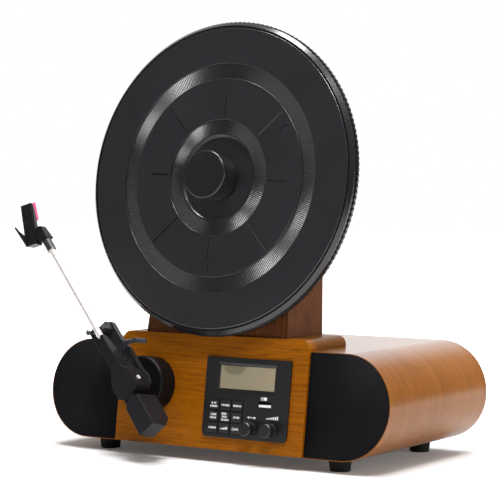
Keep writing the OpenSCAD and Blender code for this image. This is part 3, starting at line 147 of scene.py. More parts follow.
class Dress:
    """A material or a world under construction."""

    def __init__(self, name: str, world: bool = False) -> None:
        """Starts with no nodes.

        Args:
            name: What the material is called.
            world: Whether it is the world round the player instead.
        """
        self.material = (bpy.data.worlds if world else bpy.data.materials).new(name)
        self.material.use_nodes = True
        self.tree = self.material.node_tree
        self.tree.nodes.clear()

    def node(self, kind: str, settings: dict | None = None, inputs: dict | None = None) -> bpy.types.Node:
        """Adds a node with its settings, then the values or links of its sockets.

        Args:
            kind: Blender's name for the node's type.
            settings: The node's own settings.
            inputs: For a socket's name or number, a value, a socket or a Signal.

        Returns:
            The new node.
        """
        made = self.tree.nodes.new(kind)
        for key, value in (settings or {}).items():
            setattr(made, key, value)
        for key, value in (inputs or {}).items():
            if isinstance(value, Signal):
                value = value.socket
            if isinstance(value, bpy.types.NodeSocket):
                self.tree.links.new(value, made.inputs[key])
            elif isinstance(value, tuple) and made.inputs[key].type == "RGBA":
                made.inputs[key].default_value = (*value, 1)
            else:
                made.inputs[key].default_value = value
        return made

    def math(self, operation: str, first: Number, second: Number = 0.0) -> Signal:
        """A Math node on one or two numbers."""
        inputs = {0: first, 1: second}
        return Signal(self, self.node("ShaderNodeMath", {"operation": operation}, inputs).outputs[0])

    def clamp(self, value: Number) -> Signal:
        """The number, held between 0 and 1."""
        return Signal(self, self.node("ShaderNodeClamp", None, {0: value}).outputs[0])

    def step(self, value: Number, low: float, high: float) -> Signal:
        """A smooth rise from 0 to 1 as the number goes from low to high."""
        settings = {"interpolation_type": "SMOOTHSTEP"}
        inputs = {"Value": value, "From Min": low, "From Max": high}
        return Signal(self, self.node("ShaderNodeMapRange", settings, inputs).outputs[0])

    def place(self, turn: Colour = (0, 0, 0), shift: Colour = (0, 0, 0)) -> bpy.types.NodeSocket:
        """Object coordinates in metres, turned about their axes and then shifted."""
        source = self.node("ShaderNodeTexCoord").outputs["Object"]
        inputs = {"Vector": source, "Rotation": turn, "Location": shift}
        return self.node("ShaderNodeMapping", None, inputs).outputs[0]

    def stretch(self, vector: bpy.types.NodeSocket, scale: Colour) -> bpy.types.NodeSocket:
        """The vector, multiplied along each axis."""
        return self.node("ShaderNodeVectorMath", {"operation": "MULTIPLY"}, {0: vector, 1: scale}).outputs[0]

    def split(self, vector: bpy.types.NodeSocket) -> tuple[Signal, Signal, Signal]:
        """The vector's three numbers."""
        outputs = self.node("ShaderNodeSeparateXYZ", None, {0: vector}).outputs
        return Signal(self, outputs[0]), Signal(self, outputs[1]), Signal(self, outputs[2])

    def noise(self, vector: bpy.types.NodeSocket, scale: float = 1, detail: float = 2) -> Signal:
        """Cloudy noise from 0 to 1."""
        inputs = {"Vector": vector, "Scale": scale, "Detail": detail}
        return Signal(self, self.node("ShaderNodeTexNoise", None, inputs).outputs[0])

    def mix(self, factor: Number, low: Colour | bpy.types.NodeSocket,
            high: Colour | bpy.types.NodeSocket) -> bpy.types.NodeSocket:
        """A colour between two."""
        settings = {"data_type": "RGBA"}
        return self.node("ShaderNodeMix", settings, {0: factor, 6: low, 7: high}).outputs[2]

    def bump(self, height: Number, depth: float, strength: float = 1) -> bpy.types.NodeSocket:
        """A surface that rises by depth where the height is 1."""
        inputs = {"Height": height, "Distance": depth, "Strength": strength}
        return self.node("ShaderNodeBump", None, inputs).outputs[0]

    def close(self, **inputs: object) -> bpy.types.Material:
        """Ends the material with a Principled shader.

        Args:
            inputs: Its sockets, with an underscore for each space in a name.

        Returns:
            The finished material.
        """
        named = {key.replace("_", " "): value for key, value in inputs.items()}
        shader = self.node("ShaderNodeBsdfPrincipled", None, named).outputs[0]
        self.node("ShaderNodeOutputMaterial", None, {0: shader})
        return self.material


@dataclass(frozen=True)
class Wood:
    """Lacquered veneer with growth lines, fibres and pores."""

    name: str
    pale: Colour
    deep: Colour
    grain: Grain
    band: float = 9 * MM
    sway: float = 26 * MM
    contrast: float = 0.7
    strands: float = 420
    roughness: float = 0.36
    coat: float = 0.15
    coat_roughness: float = 0.2
    shine: float = 0.08
    top_coat_and_side_shade: float = 0
    coat_rise: tuple[float, float] = (86 * MM, 97 * MM)
    side_shade_start: tuple[float, float] = (-87 * MM, -78 * MM)
    side_shade_tint: Colour = (0.34, 0.42, 4.0)
    pore_depth: float = 0.4
    relief: float = 0.07 * MM

    def build(self) -> bpy.types.Material:
        """The veneer's material: more lacquer on the shell's top, and painted shade, darker and redder, on
        the console's top and sides.
        """
        dress = Dress(self.name)
        turned = dress.place((0 if self.grain is Grain.ROUND_SHELL else LEAN, 0, 0))
        x, y, z = dress.split(turned)
        along, across, across_name = {
            Grain.ACROSS_FRONT: ((1, 0, 0), z, (0, 1, 1)),
            Grain.UP_SLOPE: ((0, 0, 1), x, (1, 1, 0)),
            Grain.ROUND_SHELL: ((1, 0, 1), y, (0, 1, 0)),
        }[self.grain]

        def laid(long: float, wide: float) -> bpy.types.NodeSocket:
            """Coordinates stretched along the fibres and squeezed across them."""
            scale = tuple(long * a + wide * c for a, c in zip(along, across_name))
            return dress.stretch(turned, scale)

        drift = dress.noise(laid(7, 16), detail=2)
        ring = across + (drift - 0.5) * self.sway
        line = dress.math("SINE", ring * (math.tau / self.band)) * 0.5 + 0.5
        fade = dress.noise(laid(2.5, 60), detail=1)
        growth = (line ** 3.0) * dress.step(fade, 0.35, 0.65)
        strand = dress.noise(laid(16, self.strands), detail=3)
        fibre = dress.noise(laid(30, self.strands * 3), detail=2)
        patch = dress.noise(laid(9, 30), detail=2)
        pore = dress.step(dress.noise(laid(90, 1700), detail=1), 0.58, 0.7)
        depth = dress.clamp(growth * 0.45 + (strand - 0.5) * 1.5 + (fibre - 0.5) * 1.3
                            + (patch - 0.5) * 0.9 + 0.3)
        tone = dress.mix(depth * self.contrast, self.pale, self.deep)
        low = tuple(channel * self.pore_depth for channel in self.deep)
        colour = dress.mix(pore * self.pore_depth, tone, low)
        rough = self.roughness + (fibre - 0.5) * 0.12
        normal = dress.bump(fibre * 0.6 + strand * 0.6 - pore * 0.8, self.relief, 0.6)
        coat = self.coat
        if self.grain is Grain.ROUND_SHELL:
            coat = coat + dress.step(z, *self.coat_rise) * self.top_coat_and_side_shade
        elif self.top_coat_and_side_shade:
            # Painted shade: a darker, redder colour on the console's top and sides, behind its front face
            shaded_side_colour = tuple(channel * share for channel, share in zip(self.pale, self.side_shade_tint))
            colour = dress.mix(dress.step(y, *self.side_shade_start) * self.top_coat_and_side_shade, colour, shaded_side_colour)
        return dress.close(Base_Color=colour, Roughness=rough, Normal=normal, Coat_Weight=coat,
                           Coat_Roughness=self.coat_roughness, Specular_IOR_Level=self.shine)


@dataclass(frozen=True)
class Moulded:
    """Moulded or painted plastic, rubber or board: a colour with fine grain and faint handling marks."""

    name: str
    colour: Colour
    roughness: float = 0.45
    grain: float = 0.4 * MM
    relief: float = 0.02 * MM
    shade: float = 0.12
    shine: float = 0.5

    def build(self) -> bpy.types.Material:
        """The plastic's material."""
        dress = Dress(self.name)
        place = dress.place()
        grit = dress.noise(place, 1 / self.grain, 2)
        cloud = dress.noise(place, 22, 3)
        amount = dress.clamp((cloud - 0.5) * 1.6 + (grit - 0.5) * 0.7 + 0.5)
        low = tuple(channel * (1 - self.shade) for channel in self.colour)
        high = tuple(channel * (1 + self.shade) for channel in self.colour)
        rough = self.roughness + (cloud - 0.5) * 0.1 + (grit - 0.5) * 0.06
        return dress.close(Base_Color=dress.mix(amount, low, high), Roughness=rough,
                           Normal=dress.bump(grit, self.relief, 0.6), Specular_IOR_Level=self.shine)


@dataclass(frozen=True)
class Metal:
    """Bare or plated metal with fine machining lines, and another colour from the arm's collar on."""

    name: str
    colour: Colour
    roughness: float = 0.28
    metallic: float = 1.0
    relief: float = 0.008 * MM
    collar: Colour | None = None

    def build(self) -> bpy.types.Material:
        """The metal's material."""
        dress = Dress(self.name)
        place = dress.place()
        lines = dress.noise(dress.stretch(place, (900, 900, 260)), detail=2)
        cloud = dress.noise(place, 60, 2)
        low = tuple(channel * 0.82 for channel in self.colour)
        colour = dress.mix(dress.clamp(cloud * 0.7 + lines * 0.3), low, self.colour)
        if self.collar:
            x, y, z = dress.split(dress.place(shift=tuple(-at for at in COLLAR_START)))
            along = x * ARM_WAY.x + y * ARM_WAY.y + z * ARM_WAY.z
            colour = dress.mix(dress.step(along, -0.1 * MM, 0.1 * MM), colour, self.collar)
        rough = self.roughness + (lines - 0.5) * 0.12 + (cloud - 0.5) * 0.08
        return dress.close(Base_Color=colour, Metallic=self.metallic, Roughness=rough,
                           Normal=dress.bump(lines, self.relief, 0.5))


@dataclass(frozen=True)
class Cloth:
    """Woven speaker cloth, dark with a slightly lighter thread."""

    name: str
    colour: Colour
    thread: Colour
    pitch: float = 1.1 * MM

    def build(self) -> bpy.types.Material:
        """The cloth's material."""
        dress = Dress(self.name)
        x, _, s = dress.split(dress.place((LEAN, 0, 0)))
        across = dress.math("SINE", x * (math.tau / self.pitch)) * 0.5 + 0.5
        up = dress.math("SINE", s * (math.tau / self.pitch)) * 0.5 + 0.5
        weave = across * up + (1 - across) * (1 - up)
        fuzz = dress.noise(dress.place(), 900, 2)
        cloud = dress.noise(dress.place(), 30, 2)
        amount = dress.clamp(weave * 0.5 + (fuzz - 0.5) * 0.8 + (cloud - 0.5) * 0.6 + 0.15)
        return dress.close(Base_Color=dress.mix(amount, self.colour, self.thread),
                           Roughness=0.8 + (fuzz - 0.5) * 0.2, Specular_IOR_Level=0.1,
                           Normal=dress.bump(weave + fuzz * 0.4, 0.12 * MM, 0.8))


@dataclass(frozen=True)
class Display:
    """Unlit display glass: a dull panel under a glossy pane, with painted shade as a darker patch at its
    upper left and a painted reflection that pales it towards its right.
    """

    name: str
    pale: Colour
    dark: Colour
    painted_shade_at: tuple[float, float] = (25.5 * MM, 71.5 * MM)
    painted_shade_half: tuple[float, float] = (13 * MM, 9 * MM)
    painted_reflection_span: tuple[float, float] = (36 * MM, 66 * MM)

    def build(self) -> bpy.types.Material:
        """The glass's material."""
        dress = Dress(self.name)
        x, _, s = dress.split(dress.place((LEAN, 0, 0)))
        # Painted shade: a darker patch at the glass's upper left; painted reflection: paler towards its right
        across = (x - self.painted_shade_at[0]) / self.painted_shade_half[0]
        down = (s - self.painted_shade_at[1]) / self.painted_shade_half[1]
        painted_shade_patch = dress.step((across * across + down * down) ** 0.5, 1.05, 0.75)
        right = dress.step(x, *self.painted_reflection_span)
        cloud = dress.noise(dress.place(), 70, 2)
        amount = dress.clamp(painted_shade_patch * 0.75 - right * 0.2 + (cloud - 0.5) * 0.2 + 0.2)
        return dress.close(Base_Color=dress.mix(amount, self.pale, self.dark),
                           Roughness=0.32 + (cloud - 0.5) * 0.06, Coat_Weight=1.0, Coat_Roughness=0.06)


class Palette:
    """Every finish on the record player, built once and kept by the record's slot."""

    def __init__(self) -> None:
        """Builds the finishes."""
        black = (0.0138, 0.0117, 0.0147)
        finishes = {
            # The console's veneer gets painted shade, darker and redder, on its top and sides; the shell's
            # gets more lacquer on its top
            "cabinet_wood": Wood("console_veneer", (0.31, 0.098, 0.002), (0.12, 0.025, 0.0003),
                                 Grain.ACROSS_FRONT, band=5 * MM, sway=34 * MM, strands=620, top_coat_and_side_shade=0.85),
            "shell_wood": Wood("cabinet_veneer", (0.235, 0.083, 0.0115), (0.095, 0.027, 0.003),
                               Grain.ROUND_SHELL, band=4 * MM, sway=9 * MM, strands=560, roughness=0.32,
                               coat=0.12, coat_roughness=0.16, shine=0.15, top_coat_and_side_shade=0.88),
            "pillar_wood": Wood("pillar_veneer", (0.13, 0.043, 0.014), (0.045, 0.014, 0.004),
                                Grain.UP_SLOPE, band=4 * MM, sway=10 * MM, contrast=0.95, strands=520,
                                coat=0.06),
            "raw_board": Moulded("raw_fibreboard", (0.30, 0.21, 0.13), 0.8, 0.7 * MM, 0.05 * MM),
            "black_board": Moulded("painted_board", (0.02, 0.019, 0.018), 0.6, 0.6 * MM, 0.04 * MM),
            "grille_cloth": Cloth("speaker_cloth", (0.002, 0.002, 0.0028), (0.0075, 0.0072, 0.0095)),
            "rubber": Moulded("black_rubber", (0.006, 0.0058, 0.006), 0.7, 0.5 * MM, 0.03 * MM, shine=0.2),
            "screw_steel": Metal("screw_steel", (0.55, 0.55, 0.56), 0.3),
            "black_metal": Metal("blackened_steel", (0.03, 0.03, 0.032), 0.4, 0.6),
            "cone_paper": Moulded("cone_paper", (0.025, 0.025, 0.027), 0.85, 0.8 * MM, 0.08 * MM),
            "black_plastic": Moulded("black_plastic", black, 0.42),
            "gloss_black": Moulded("panel_black", (0.007, 0.0066, 0.007), 0.34, 0.5 * MM, 0.015 * MM),
            "key_black": Moulded("key_black", (0.010, 0.010, 0.012), 0.38),
            "circuit_board": Moulded("circuit_board", (0.02, 0.13, 0.05), 0.4, 1.5 * MM, 0.05 * MM, 0.3),
            "cast_alloy": Metal("cast_alloy", (0.5, 0.51, 0.53), 0.42),
            "bronze": Metal("sintered_bronze", (0.5, 0.3, 0.12), 0.4),
            "pale_plastic": Moulded("pale_plastic", (0.55, 0.53, 0.47), 0.45),
            "platter_black": Moulded("platter_black", (0.009, 0.0083, 0.0095),
                                     0.2, 0.6 * MM, 0.002 * MM, shine=0.65),
            "mat_rubber": Moulded("mat_rubber", (0.0130, 0.0108, 0.0138),
                                  0.32, 0.35 * MM, 0.012 * MM, shine=0.7),
            "spindle_steel": Metal("ground_steel", (0.62, 0.62, 0.64), 0.2),
            "display": Display("display_glass", (0.295, 0.245, 0.16), (0.15, 0.135, 0.085)),
            "arm_black": Moulded("arm_black", (0.0098, 0.0098, 0.0118), 0.34, 0.4 * MM, 0.01 * MM, shine=0.2),
            "weight_black": Moulded("weight_black", (0.0118, 0.0115, 0.0138),
                                    0.34, 0.5 * MM, 0.01 * MM, shine=0.15),
            "bracket_metal": Metal("bracket_metal", (0.05, 0.05, 0.055), 0.3, 0.5),
            "tube_chrome": Metal("arm_chrome", (0.95, 0.88, 0.87), 0.34, 0.6, 0.0005 * MM,
                                 collar=(0.05, 0.05, 0.055)),
            "cartridge_grey": Moulded("cartridge_grey", (0.07, 0.067, 0.072), 0.36),
            "stylus_pink": Moulded("stylus_pink", (0.62, 0.10, 0.22), 0.35),
            "base_black": Moulded("base_black", (0.0050, 0.0044, 0.0047), 0.42, shine=0.1),
            # The ribs: the mat's rubber in a darker colour, painted shade in the sunken rings, and glossier
            "mat_rib": Moulded("mat_ribs", (0.004, 0.0034, 0.0046), 0.28, relief=0.001 * MM, shine=0.8),
            # The rings' rounded edges: the mat's rubber in a lighter colour, a painted highlight, and
            # glossier
            "mat_edge_highlight": Moulded("mat_edge_highlight", (0.016, 0.0145, 0.018), 0.22, 0.5 * MM, 0.0005 * MM, shine=1.0),
            "clamp_black": Moulded("clamp_black", (0.0112, 0.0104, 0.0118),
                                   0.26, 0.5 * MM, 0.003 * MM, shine=0.45),
            "lever_grey": Moulded("lever_grey", (0.028, 0.031, 0.038), 0.3, 0.5 * MM, 0.004 * MM),
            "socket_dark": Metal("socket_shell", (0.05, 0.035, 0.035), 0.35, 0.6),
            "tongue_white": Moulded("tongue_white", (0.8, 0.8, 0.8), 0.4),
            "bright_pin": Metal("bright_pin", (0.95, 0.95, 0.95), 0.35, 0.5),
            "mark_white": Moulded("printed_white", (0.75, 0.76, 0.78), 0.5, 0.3 * MM, 0.005 * MM, 0.05),
        }
        self.materials = {slot: finish.build() for slot, finish in finishes.items()}

    def __getitem__(self, slot: str) -> bpy.types.Material:
        """The material of one finish."""
        return self.materials[slot]


def smooth(mesh: bpy.types.Mesh, sharp: float = 28) -> None:
    """Shades a mesh smooth, apart from edges sharper than an angle in degrees."""
    mesh.polygons.foreach_set("use_smooth", [True] * len(mesh.polygons))
    mesh.set_sharp_from_angle(angle=math.radians(sharp))


def on_ring(edge: bmesh.types.BMEdge, shortest: float = 1.6 * MM) -> bool:
    """Whether an edge is a raised one that runs round the platter's axis."""
    ends = [ON_AXIS.inverted() @ v.co for v in edge.verts]
    radii = [math.hypot(end.x, end.y) for end in ends]
    return (abs(radii[0] - radii[1]) < 0.02 * MM and edge.calc_length() > shortest
            and len(edge.link_faces) == 2 and edge.calc_face_angle_signed(0) > math.radians(30))


def draw_in_teeth(bm: bmesh.types.BMesh, share: float = 0.6, back: float = 0.7 * MM) -> None:
    """Shortens the platter's teeth and sets their front back, as they show less in the photograph.

    Args:
        bm: The platter's mesh, in the row frame.
        share: The share of their reach that they keep.
        back: How far their front face moves towards the pillar.
    """
    inward = ON_AXIS.inverted()
    for v in bm.verts:
        at = inward @ v.co
        radius = math.hypot(at.x, at.y)
        if abs(at.z - TOOTH_FRONT) < 0.05 * MM and radius > PLATTER_R - 0.3 * MM:
            at.z -= back
        if radius > PLATTER_R + 0.2 * MM:
            less = (PLATTER_R + (radius - PLATTER_R) * share) / radius
            at.x, at.y = at.x * less, at.y * less
        v.co = ON_AXIS @ at


@dataclass
class Maker:
    """Turns finished meshes into pieces that ride on the player's bodies."""

    palette: Palette

    def piece(self, name: str, bm: bmesh.types.BMesh, body: str, finish: str, slot: str = "",
              place: Matrix | None = None, sharp: float = 28) -> bpy.types.Object:
        """Makes a piece from a bmesh, with its place in its mesh.

        Args:
            name: The piece's name.
            bm: Its shape, which is freed.
            body: The body that it rides on.
            finish: The name of its finish in the palette.
            slot: The record's material slot, where it isn't the finish's own name; not used.
            place: Where it is, as a matrix; the row frame if None.
            sharp: Edges sharper than this, in degrees, stay sharp.

        Returns:
            The piece.
        """
        if place is not None:
            bmesh.ops.transform(bm, matrix=place, verts=bm.verts)
        bmesh.ops.recalc_face_normals(bm, faces=bm.faces)
        mesh = bpy.data.meshes.new(name)
        bm.to_mesh(mesh)
        bm.free()
        smooth(mesh, sharp)
        made = bpy.data.objects.new(name, mesh)
        bpy.context.scene.collection.objects.link(made)
        mesh.materials.append(self.palette[finish])
        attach(made, body)
        LOG.info("%s: %d faces on %s", name, len(mesh.polygons), body)
        return made

    def copy_of(self, node: str) -> bmesh.types.BMesh:
        """A merged copy of a CAD node's mesh, with its flat faces whole."""
        bm = bmesh.new()
        bm.from_mesh(frame["nodes"][node].data)
        bmesh.ops.remove_doubles(bm, verts=bm.verts, dist=0.002 * MM)
        bmesh.ops.dissolve_limit(bm, angle_limit=math.radians(0.4), verts=bm.verts, edges=bm.edges)
        return bm

    @staticmethod
    def round_over(bm: bmesh.types.BMesh, edges: list[bmesh.types.BMEdge], width: float,
                   segments: int, material: int = -1) -> None:
        """Rounds edges over, with that many faces across, in their own or another of its materials."""
        bmesh.ops.bevel(bm, geom=edges, offset=width, offset_type="OFFSET", segments=segments,
                        profile=0.5, affect="EDGES", material=material, clamp_overlap=True)

    def softened(self, node: str, width: float, finish: str, slot: str = "", sharp: float = 30,
                 rim_width: float = 0, rim: str = "") -> bpy.types.Object:
        """A copy of a CAD node with its sharp edges rounded over, which stands for it.

        Args:
            node: The CAD node.
            width: The rounding's width in metres; none if 0.
            finish: The name of its finish in the palette.
            slot: The record's material slot, where it isn't the finish's own name.
            sharp: Edges sharper than this, in degrees, are rounded.
            rim_width: The rounding's width on the raised rings round the platter's axis; none if 0.
            rim: The finish of those rings, if they have their own.

        Returns:
            The piece.
        """
        bm = self.copy_of(node)
        if node == "platter_disc":
            draw_in_teeth(bm)
        if rim_width:
            self.round_over(bm, [e for e in bm.edges if on_ring(e)], rim_width, 4, 1 if rim else -1)
        edges = [e for e in bm.edges if width and len(e.link_faces) == 2
                 and e.calc_face_angle(0) > math.radians(sharp)]
        self.round_over(bm, edges, width, 2)
        open_edges = sum(1 for e in bm.edges if len(e.link_faces) != 2)
        made = self.piece(f"{node}_rounded", bm, frame["nodes"][node]["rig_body"], finish, slot,
                          sharp=40)
        if rim:
            made.data.materials.append(self.palette[rim])
        made.modifiers.new("flat_faces", "WEIGHTED_NORMAL").keep_sharp = True
        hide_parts(node)
        LOG.info("%s stands for %s, %d open edges", made.name, node, open_edges)
        return made


@dataclass
class Cabinet:
    """The wooden cabinet, console and pillar with their grilles."""

    maker: Maker
    cloth_t: float = 0.6 * MM

    def dress(self) -> None:
        """Gives the wooden parts and what is on them their finishes."""
        self.maker.softened("console_body", 0.7 * MM, "cabinet_wood")
        self.maker.softened("pillar_shell", 0.6 * MM, "pillar_wood")
        self.maker.softened("cabinet_shell", 0.35 * MM, "shell_wood", "cabinet_wood")
        for side, name in ((-1, "left"), (1, "right")):
            self.cloth(side, name)
        self.maker.softened("pillar_cover", 0.4 * MM, "black_board")
        self.maker.softened("rear_panel", 0.4 * MM, "black_board")

    def cloth(self, side: int, name: str) -> None:
        """Stretches the cloth of one grille over the place of its CAD solid.

        Args:
            side: -1 for the left speaker, 1 for the right one.
            name: What the side is called.
        """
        bm = self.maker.copy_of("grille_cloths")
        away = [f for f in bm.faces if f.normal.dot(OUTWARD) < 0.9 or f.calc_center_median().x * side < 0]
        bmesh.ops.delete(bm, geom=away, context="FACES")
        area = sum(f.calc_area() for f in bm.faces)
        made = self.maker.piece(f"grille_fabric_{name}", bm, "cabinet", "grille_cloth")
        thick = made.modifiers.new("thickness", "SOLIDIFY")
        thick.thickness = self.cloth_t
        thick.offset = -1
        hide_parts("grille_cloths")


@dataclass
class Platter:
    """The platter's mat, with ribs in its two sunken rings."""

    maker: Maker
    face: float = 17 * MM
    sunk: float = 1 * MM
    rib: float = 0.38 * MM

    def dress(self) -> None:
        """Rounds the edges and adds the ribs."""
        self.maker.softened("platter_mat", 0, "mat_rubber", rim_width=0.6 * MM, rim="mat_edge_highlight")
        self.maker.softened("record_clamp", 0.8 * MM, "clamp_black", "platter_black")
        self.maker.softened("platter_disc", 0.12 * MM, "platter_black", rim_width=1.0 * MM)
        self.ring("mat_ribs_outer", 87.1 * MM, 99.9 * MM, 360)
        self.ring("mat_ribs_inner", 38.6 * MM, 50.5 * MM, 180)

    def ring(self, name: str, inner: float, outer: float, count: int) -> None:
        """A ring of radial ribs, each a small ridge.

        Args:
            name: The piece's name.
            inner: Radius at which the ribs begin.
            outer: Radius at which they end.
            count: Number of ribs.
        """
        bm = bmesh.new()
        bmesh.ops.create_cube(bm, size=1)
        pitch = math.tau * inner / count
        for v in bm.verts:
            top = v.co.z > 0
            radius = outer if v.co.x > 0 else inner
            width = pitch * (radius / inner) * (0.04 if top else 0.3)
            height = self.face - self.sunk + (self.rib if top else -0.02 * MM)
            v.co = Vector((radius, math.copysign(width, v.co.y), height))
        bmesh.ops.spin(bm, geom=bm.verts[:] + bm.edges[:] + bm.faces[:], cent=(0, 0, 0), axis=(0, 0, 1),
                       angle=math.tau * (count - 1) / count, steps=count - 1, use_merge=False,
                       use_duplicate=True)
        self.maker.piece(name, bm, "platter", "mat_rib", "mat_rubber", ON_AXIS)


@dataclass
class Arm:
    """The tonearm with its base, bracket, head and counterweight, their edges rounded over."""

    maker: Maker

    def dress(self) -> None:
        """Rounds the edges, so that they catch the light."""
        maker = self.maker
        maker.softened("arm_base", 0.22 * MM, "base_black", "arm_black")
        maker.softened("rest_bracket", 0.25 * MM, "bracket_metal")
        maker.softened("arm_housing", 0.45 * MM, "arm_black")
        maker.softened("counterweight", 0.6 * MM, "weight_black")
        maker.softened("headshell", 0.35 * MM, "arm_black")
        maker.softened("cartridge", 0.35 * MM, "cartridge_grey")
        maker.softened("arm_tube", 0.05 * MM, "tube_chrome", sharp=50)


class Mark(Enum):
    """Plain marks printed on the keys and the panel."""

    PLAY = "play"
    BACK = "back"
    NEXT = "next"
    CLOCK = "clock"
    LINES = "lines"
    PLUS = "plus"
    DOTS = "dots"
    BARS = "bars"
    POWER = "power"
    PLUG = "plug"
    SWEEP = "sweep"
    RISING = "rising"


@dataclass
class Panel:
    """The control panel's rounded edges and printed marks."""

    maker: Maker
    key_x: float = 3 * MM
    key_s: float = 14.4 * MM
    key_w: float = 10.6 * MM
    key_h: float = 8.9 * MM
    pitch_x: float = 12.1 * MM
    pitch_s: float = 9.9 * MM
    key_face: float = 5.9 * MM
    panel_face: float = 5.0 * MM
    ink: float = 0.06 * MM
    dash: tuple[float, float] = (0.8, 1.7)
    dash_pitch: float = 1.3
    tongue_size: tuple[float, float, float] = (12.06 * MM, 2.26 * MM, 6 * MM)
    tongue_at: tuple[float, float, float] = (59.7 * MM, 40.3 * MM, 1.42 * MM)

    def bar(self, bm: bmesh.types.BMesh, size: tuple[float, float], at: tuple[float, float],
            turn: float = 0) -> None:
        """Adds a flat bar to a mark.

        Args:
            bm: The mark's shape.
            size: Its width and height in millimetres.
            at: Its middle in millimetres, right and up of the mark's own.
            turn: Its turn in degrees.
        """
        place = Matrix.Translation((at[0] * MM, at[1] * MM, 0)) @ Matrix.Rotation(math.radians(turn), 4, "Z")
        scale = Matrix.Diagonal((size[0] * MM, size[1] * MM, self.ink, 1))
        bmesh.ops.create_cube(bm, size=1, matrix=place @ scale)

    def dashes(self, bm: bmesh.types.BMesh, count: int, at: tuple[float, float] = (0, 0)) -> None:
        """Adds a row of short upright dashes to a mark, its middle in millimetres."""
        for index in range(count):
            self.bar(bm, self.dash, (at[0] + (index - (count - 1) / 2) * self.dash_pitch, at[1]))

    def arrow(self, bm: bmesh.types.BMesh, radius: float, at: tuple[float, float], turn: float = 0) -> None:
        """Adds a flat triangle to a mark, pointing right where its turn is 0."""
        place = Matrix.Translation((at[0] * MM, at[1] * MM, 0))
        place @= Matrix.Rotation(math.radians(turn - 90), 4, "Z")
        bmesh.ops.create_cone(bm, cap_ends=True, segments=3, radius1=radius * MM, radius2=radius * MM,
                              depth=self.ink, matrix=place)

    def ring(self, bm: bmesh.types.BMesh, radius: float, at: tuple[float, float], gap: int = 0) -> None:
        """Adds a ring of short bars to a mark, open at the top where a gap is given."""
        for step in range(12):
            turn = math.radians(step * 30 + 90)
            if gap and step in (0, 1, 11):
                continue
            place = (at[0] + radius * math.cos(turn), at[1] + radius * math.sin(turn))
            self.bar(bm, (0.35, radius * 0.56), place, math.degrees(turn))

    def draw(self, mark: Mark) -> bmesh.types.BMesh:
        """The shape of one mark round the origin."""
        bm = bmesh.new()
        if mark is Mark.PLAY:
            self.arrow(bm, 1.2, (-1.7, 1.25))
            for x in (0.7, 1.9):
                self.bar(bm, (0.7, 1.9), (x, 1.25))
            self.dashes(bm, 6, (0, -1.45))
        if mark in (Mark.NEXT, Mark.BACK):
            way = 1 if mark is Mark.NEXT else -1
            for x in (0.6, 2.4):
                self.arrow(bm, 1.15, (way * x, 0), 0 if way > 0 else 180)
            self.bar(bm, (0.5, 1.9), (way * 3.9, 0))
            self.dashes(bm, 3, (way * -2.3, 0))
        if mark is Mark.CLOCK:
            self.ring(bm, 1.0, (-1.5, 1.4))
            self.dashes(bm, 3, (1.4, 1.4))
            self.dashes(bm, 5, (0, -1.4))
        if mark is Mark.LINES:
            self.dashes(bm, 4, (-0.9, 2.6))
            self.dashes(bm, 4, (-0.4, 0))
            self.dashes(bm, 6, (0.4, -2.6))
        if mark is Mark.PLUS:
            self.bar(bm, (2.2, 0.6), (-2.2, 0))
            self.bar(bm, (0.6, 2.2), (-2.2, 0))
            self.dashes(bm, 3, (1.2, 0))
        if mark is Mark.DOTS:
            self.dashes(bm, 6)
        if mark is Mark.BARS:
            for index in range(5):
                self.bar(bm, (1.0, 0.9 + 0.35 * index), ((index - 2) * 1.5, 0.17 * index - 0.5))
        if mark is Mark.POWER:
            self.ring(bm, 1.1, (-2.4, 0), 1)
            self.bar(bm, (0.5, 1.2), (-2.4, 0.9))
            self.dashes(bm, 4, (1.4, 0))
        if mark is Mark.PLUG:
            self.bar(bm, (3.0, 2.6), (1.6, 0))
            for up in (-0.75, 0.75):
                self.bar(bm, (3.2, 0.7), (-1.5, up))
        if mark is Mark.SWEEP:
            for way in (-1, 1):
                self.arrow(bm, 1.5, (way * 3.0, 0), 90 - 90 * way)
            self.bar(bm, (3.6, 0.8), (0, 0))
        if mark is Mark.RISING:
            for index in range(7):
                self.bar(bm, (1.15, 1.1 + 0.33 * index), ((index - 3) * 1.8, 0.16 * index - 0.6))
        return bm

    def dress(self) -> None:
        """Rounds the panel and the knobs, adds the socket's tongue and prints the marks."""
        self.maker.softened("control_bezel", 0.4 * MM, "gloss_black")
        for knob in ("tune_knob", "volume_knob"):
            self.maker.softened(knob, 0.3 * MM, "gloss_black")
        marks = [Mark.PLAY, Mark.BACK, Mark.NEXT, Mark.CLOCK, Mark.LINES, Mark.PLUS, Mark.DOTS,
                 Mark.BARS, Mark.POWER]
        for index, mark in enumerate(marks):
            column, row = index % 3, 2 - index // 3
            x = self.key_x + self.key_w / 2 + column * self.pitch_x
            s = self.key_s + self.key_h / 2 + row * self.pitch_s
            self.print_mark(f"key_mark_{index + 1}", mark, (x, s, self.key_face), f"button_{index + 1}",
                            "key_black")
        bm = bmesh.new()
        bmesh.ops.create_cube(bm, size=1, matrix=Matrix.Diagonal((*self.tongue_size, 1)))
        self.maker.piece("usb_tongue", bm, "cabinet", "tongue_white", "pale_plastic",
                         ON_FRONT @ Matrix.Translation(self.tongue_at))
        for name, mark, x, s in (("socket_mark", Mark.PLUG, 58.6 * MM, 46.3 * MM),
                                 ("tuning_mark", Mark.SWEEP, 47.5 * MM, 29.8 * MM),
                                 ("loudness_mark", Mark.RISING, 68.2 * MM, 30.6 * MM)):
            self.print_mark(name, mark, (x, s, self.panel_face), "cabinet", "gloss_black")

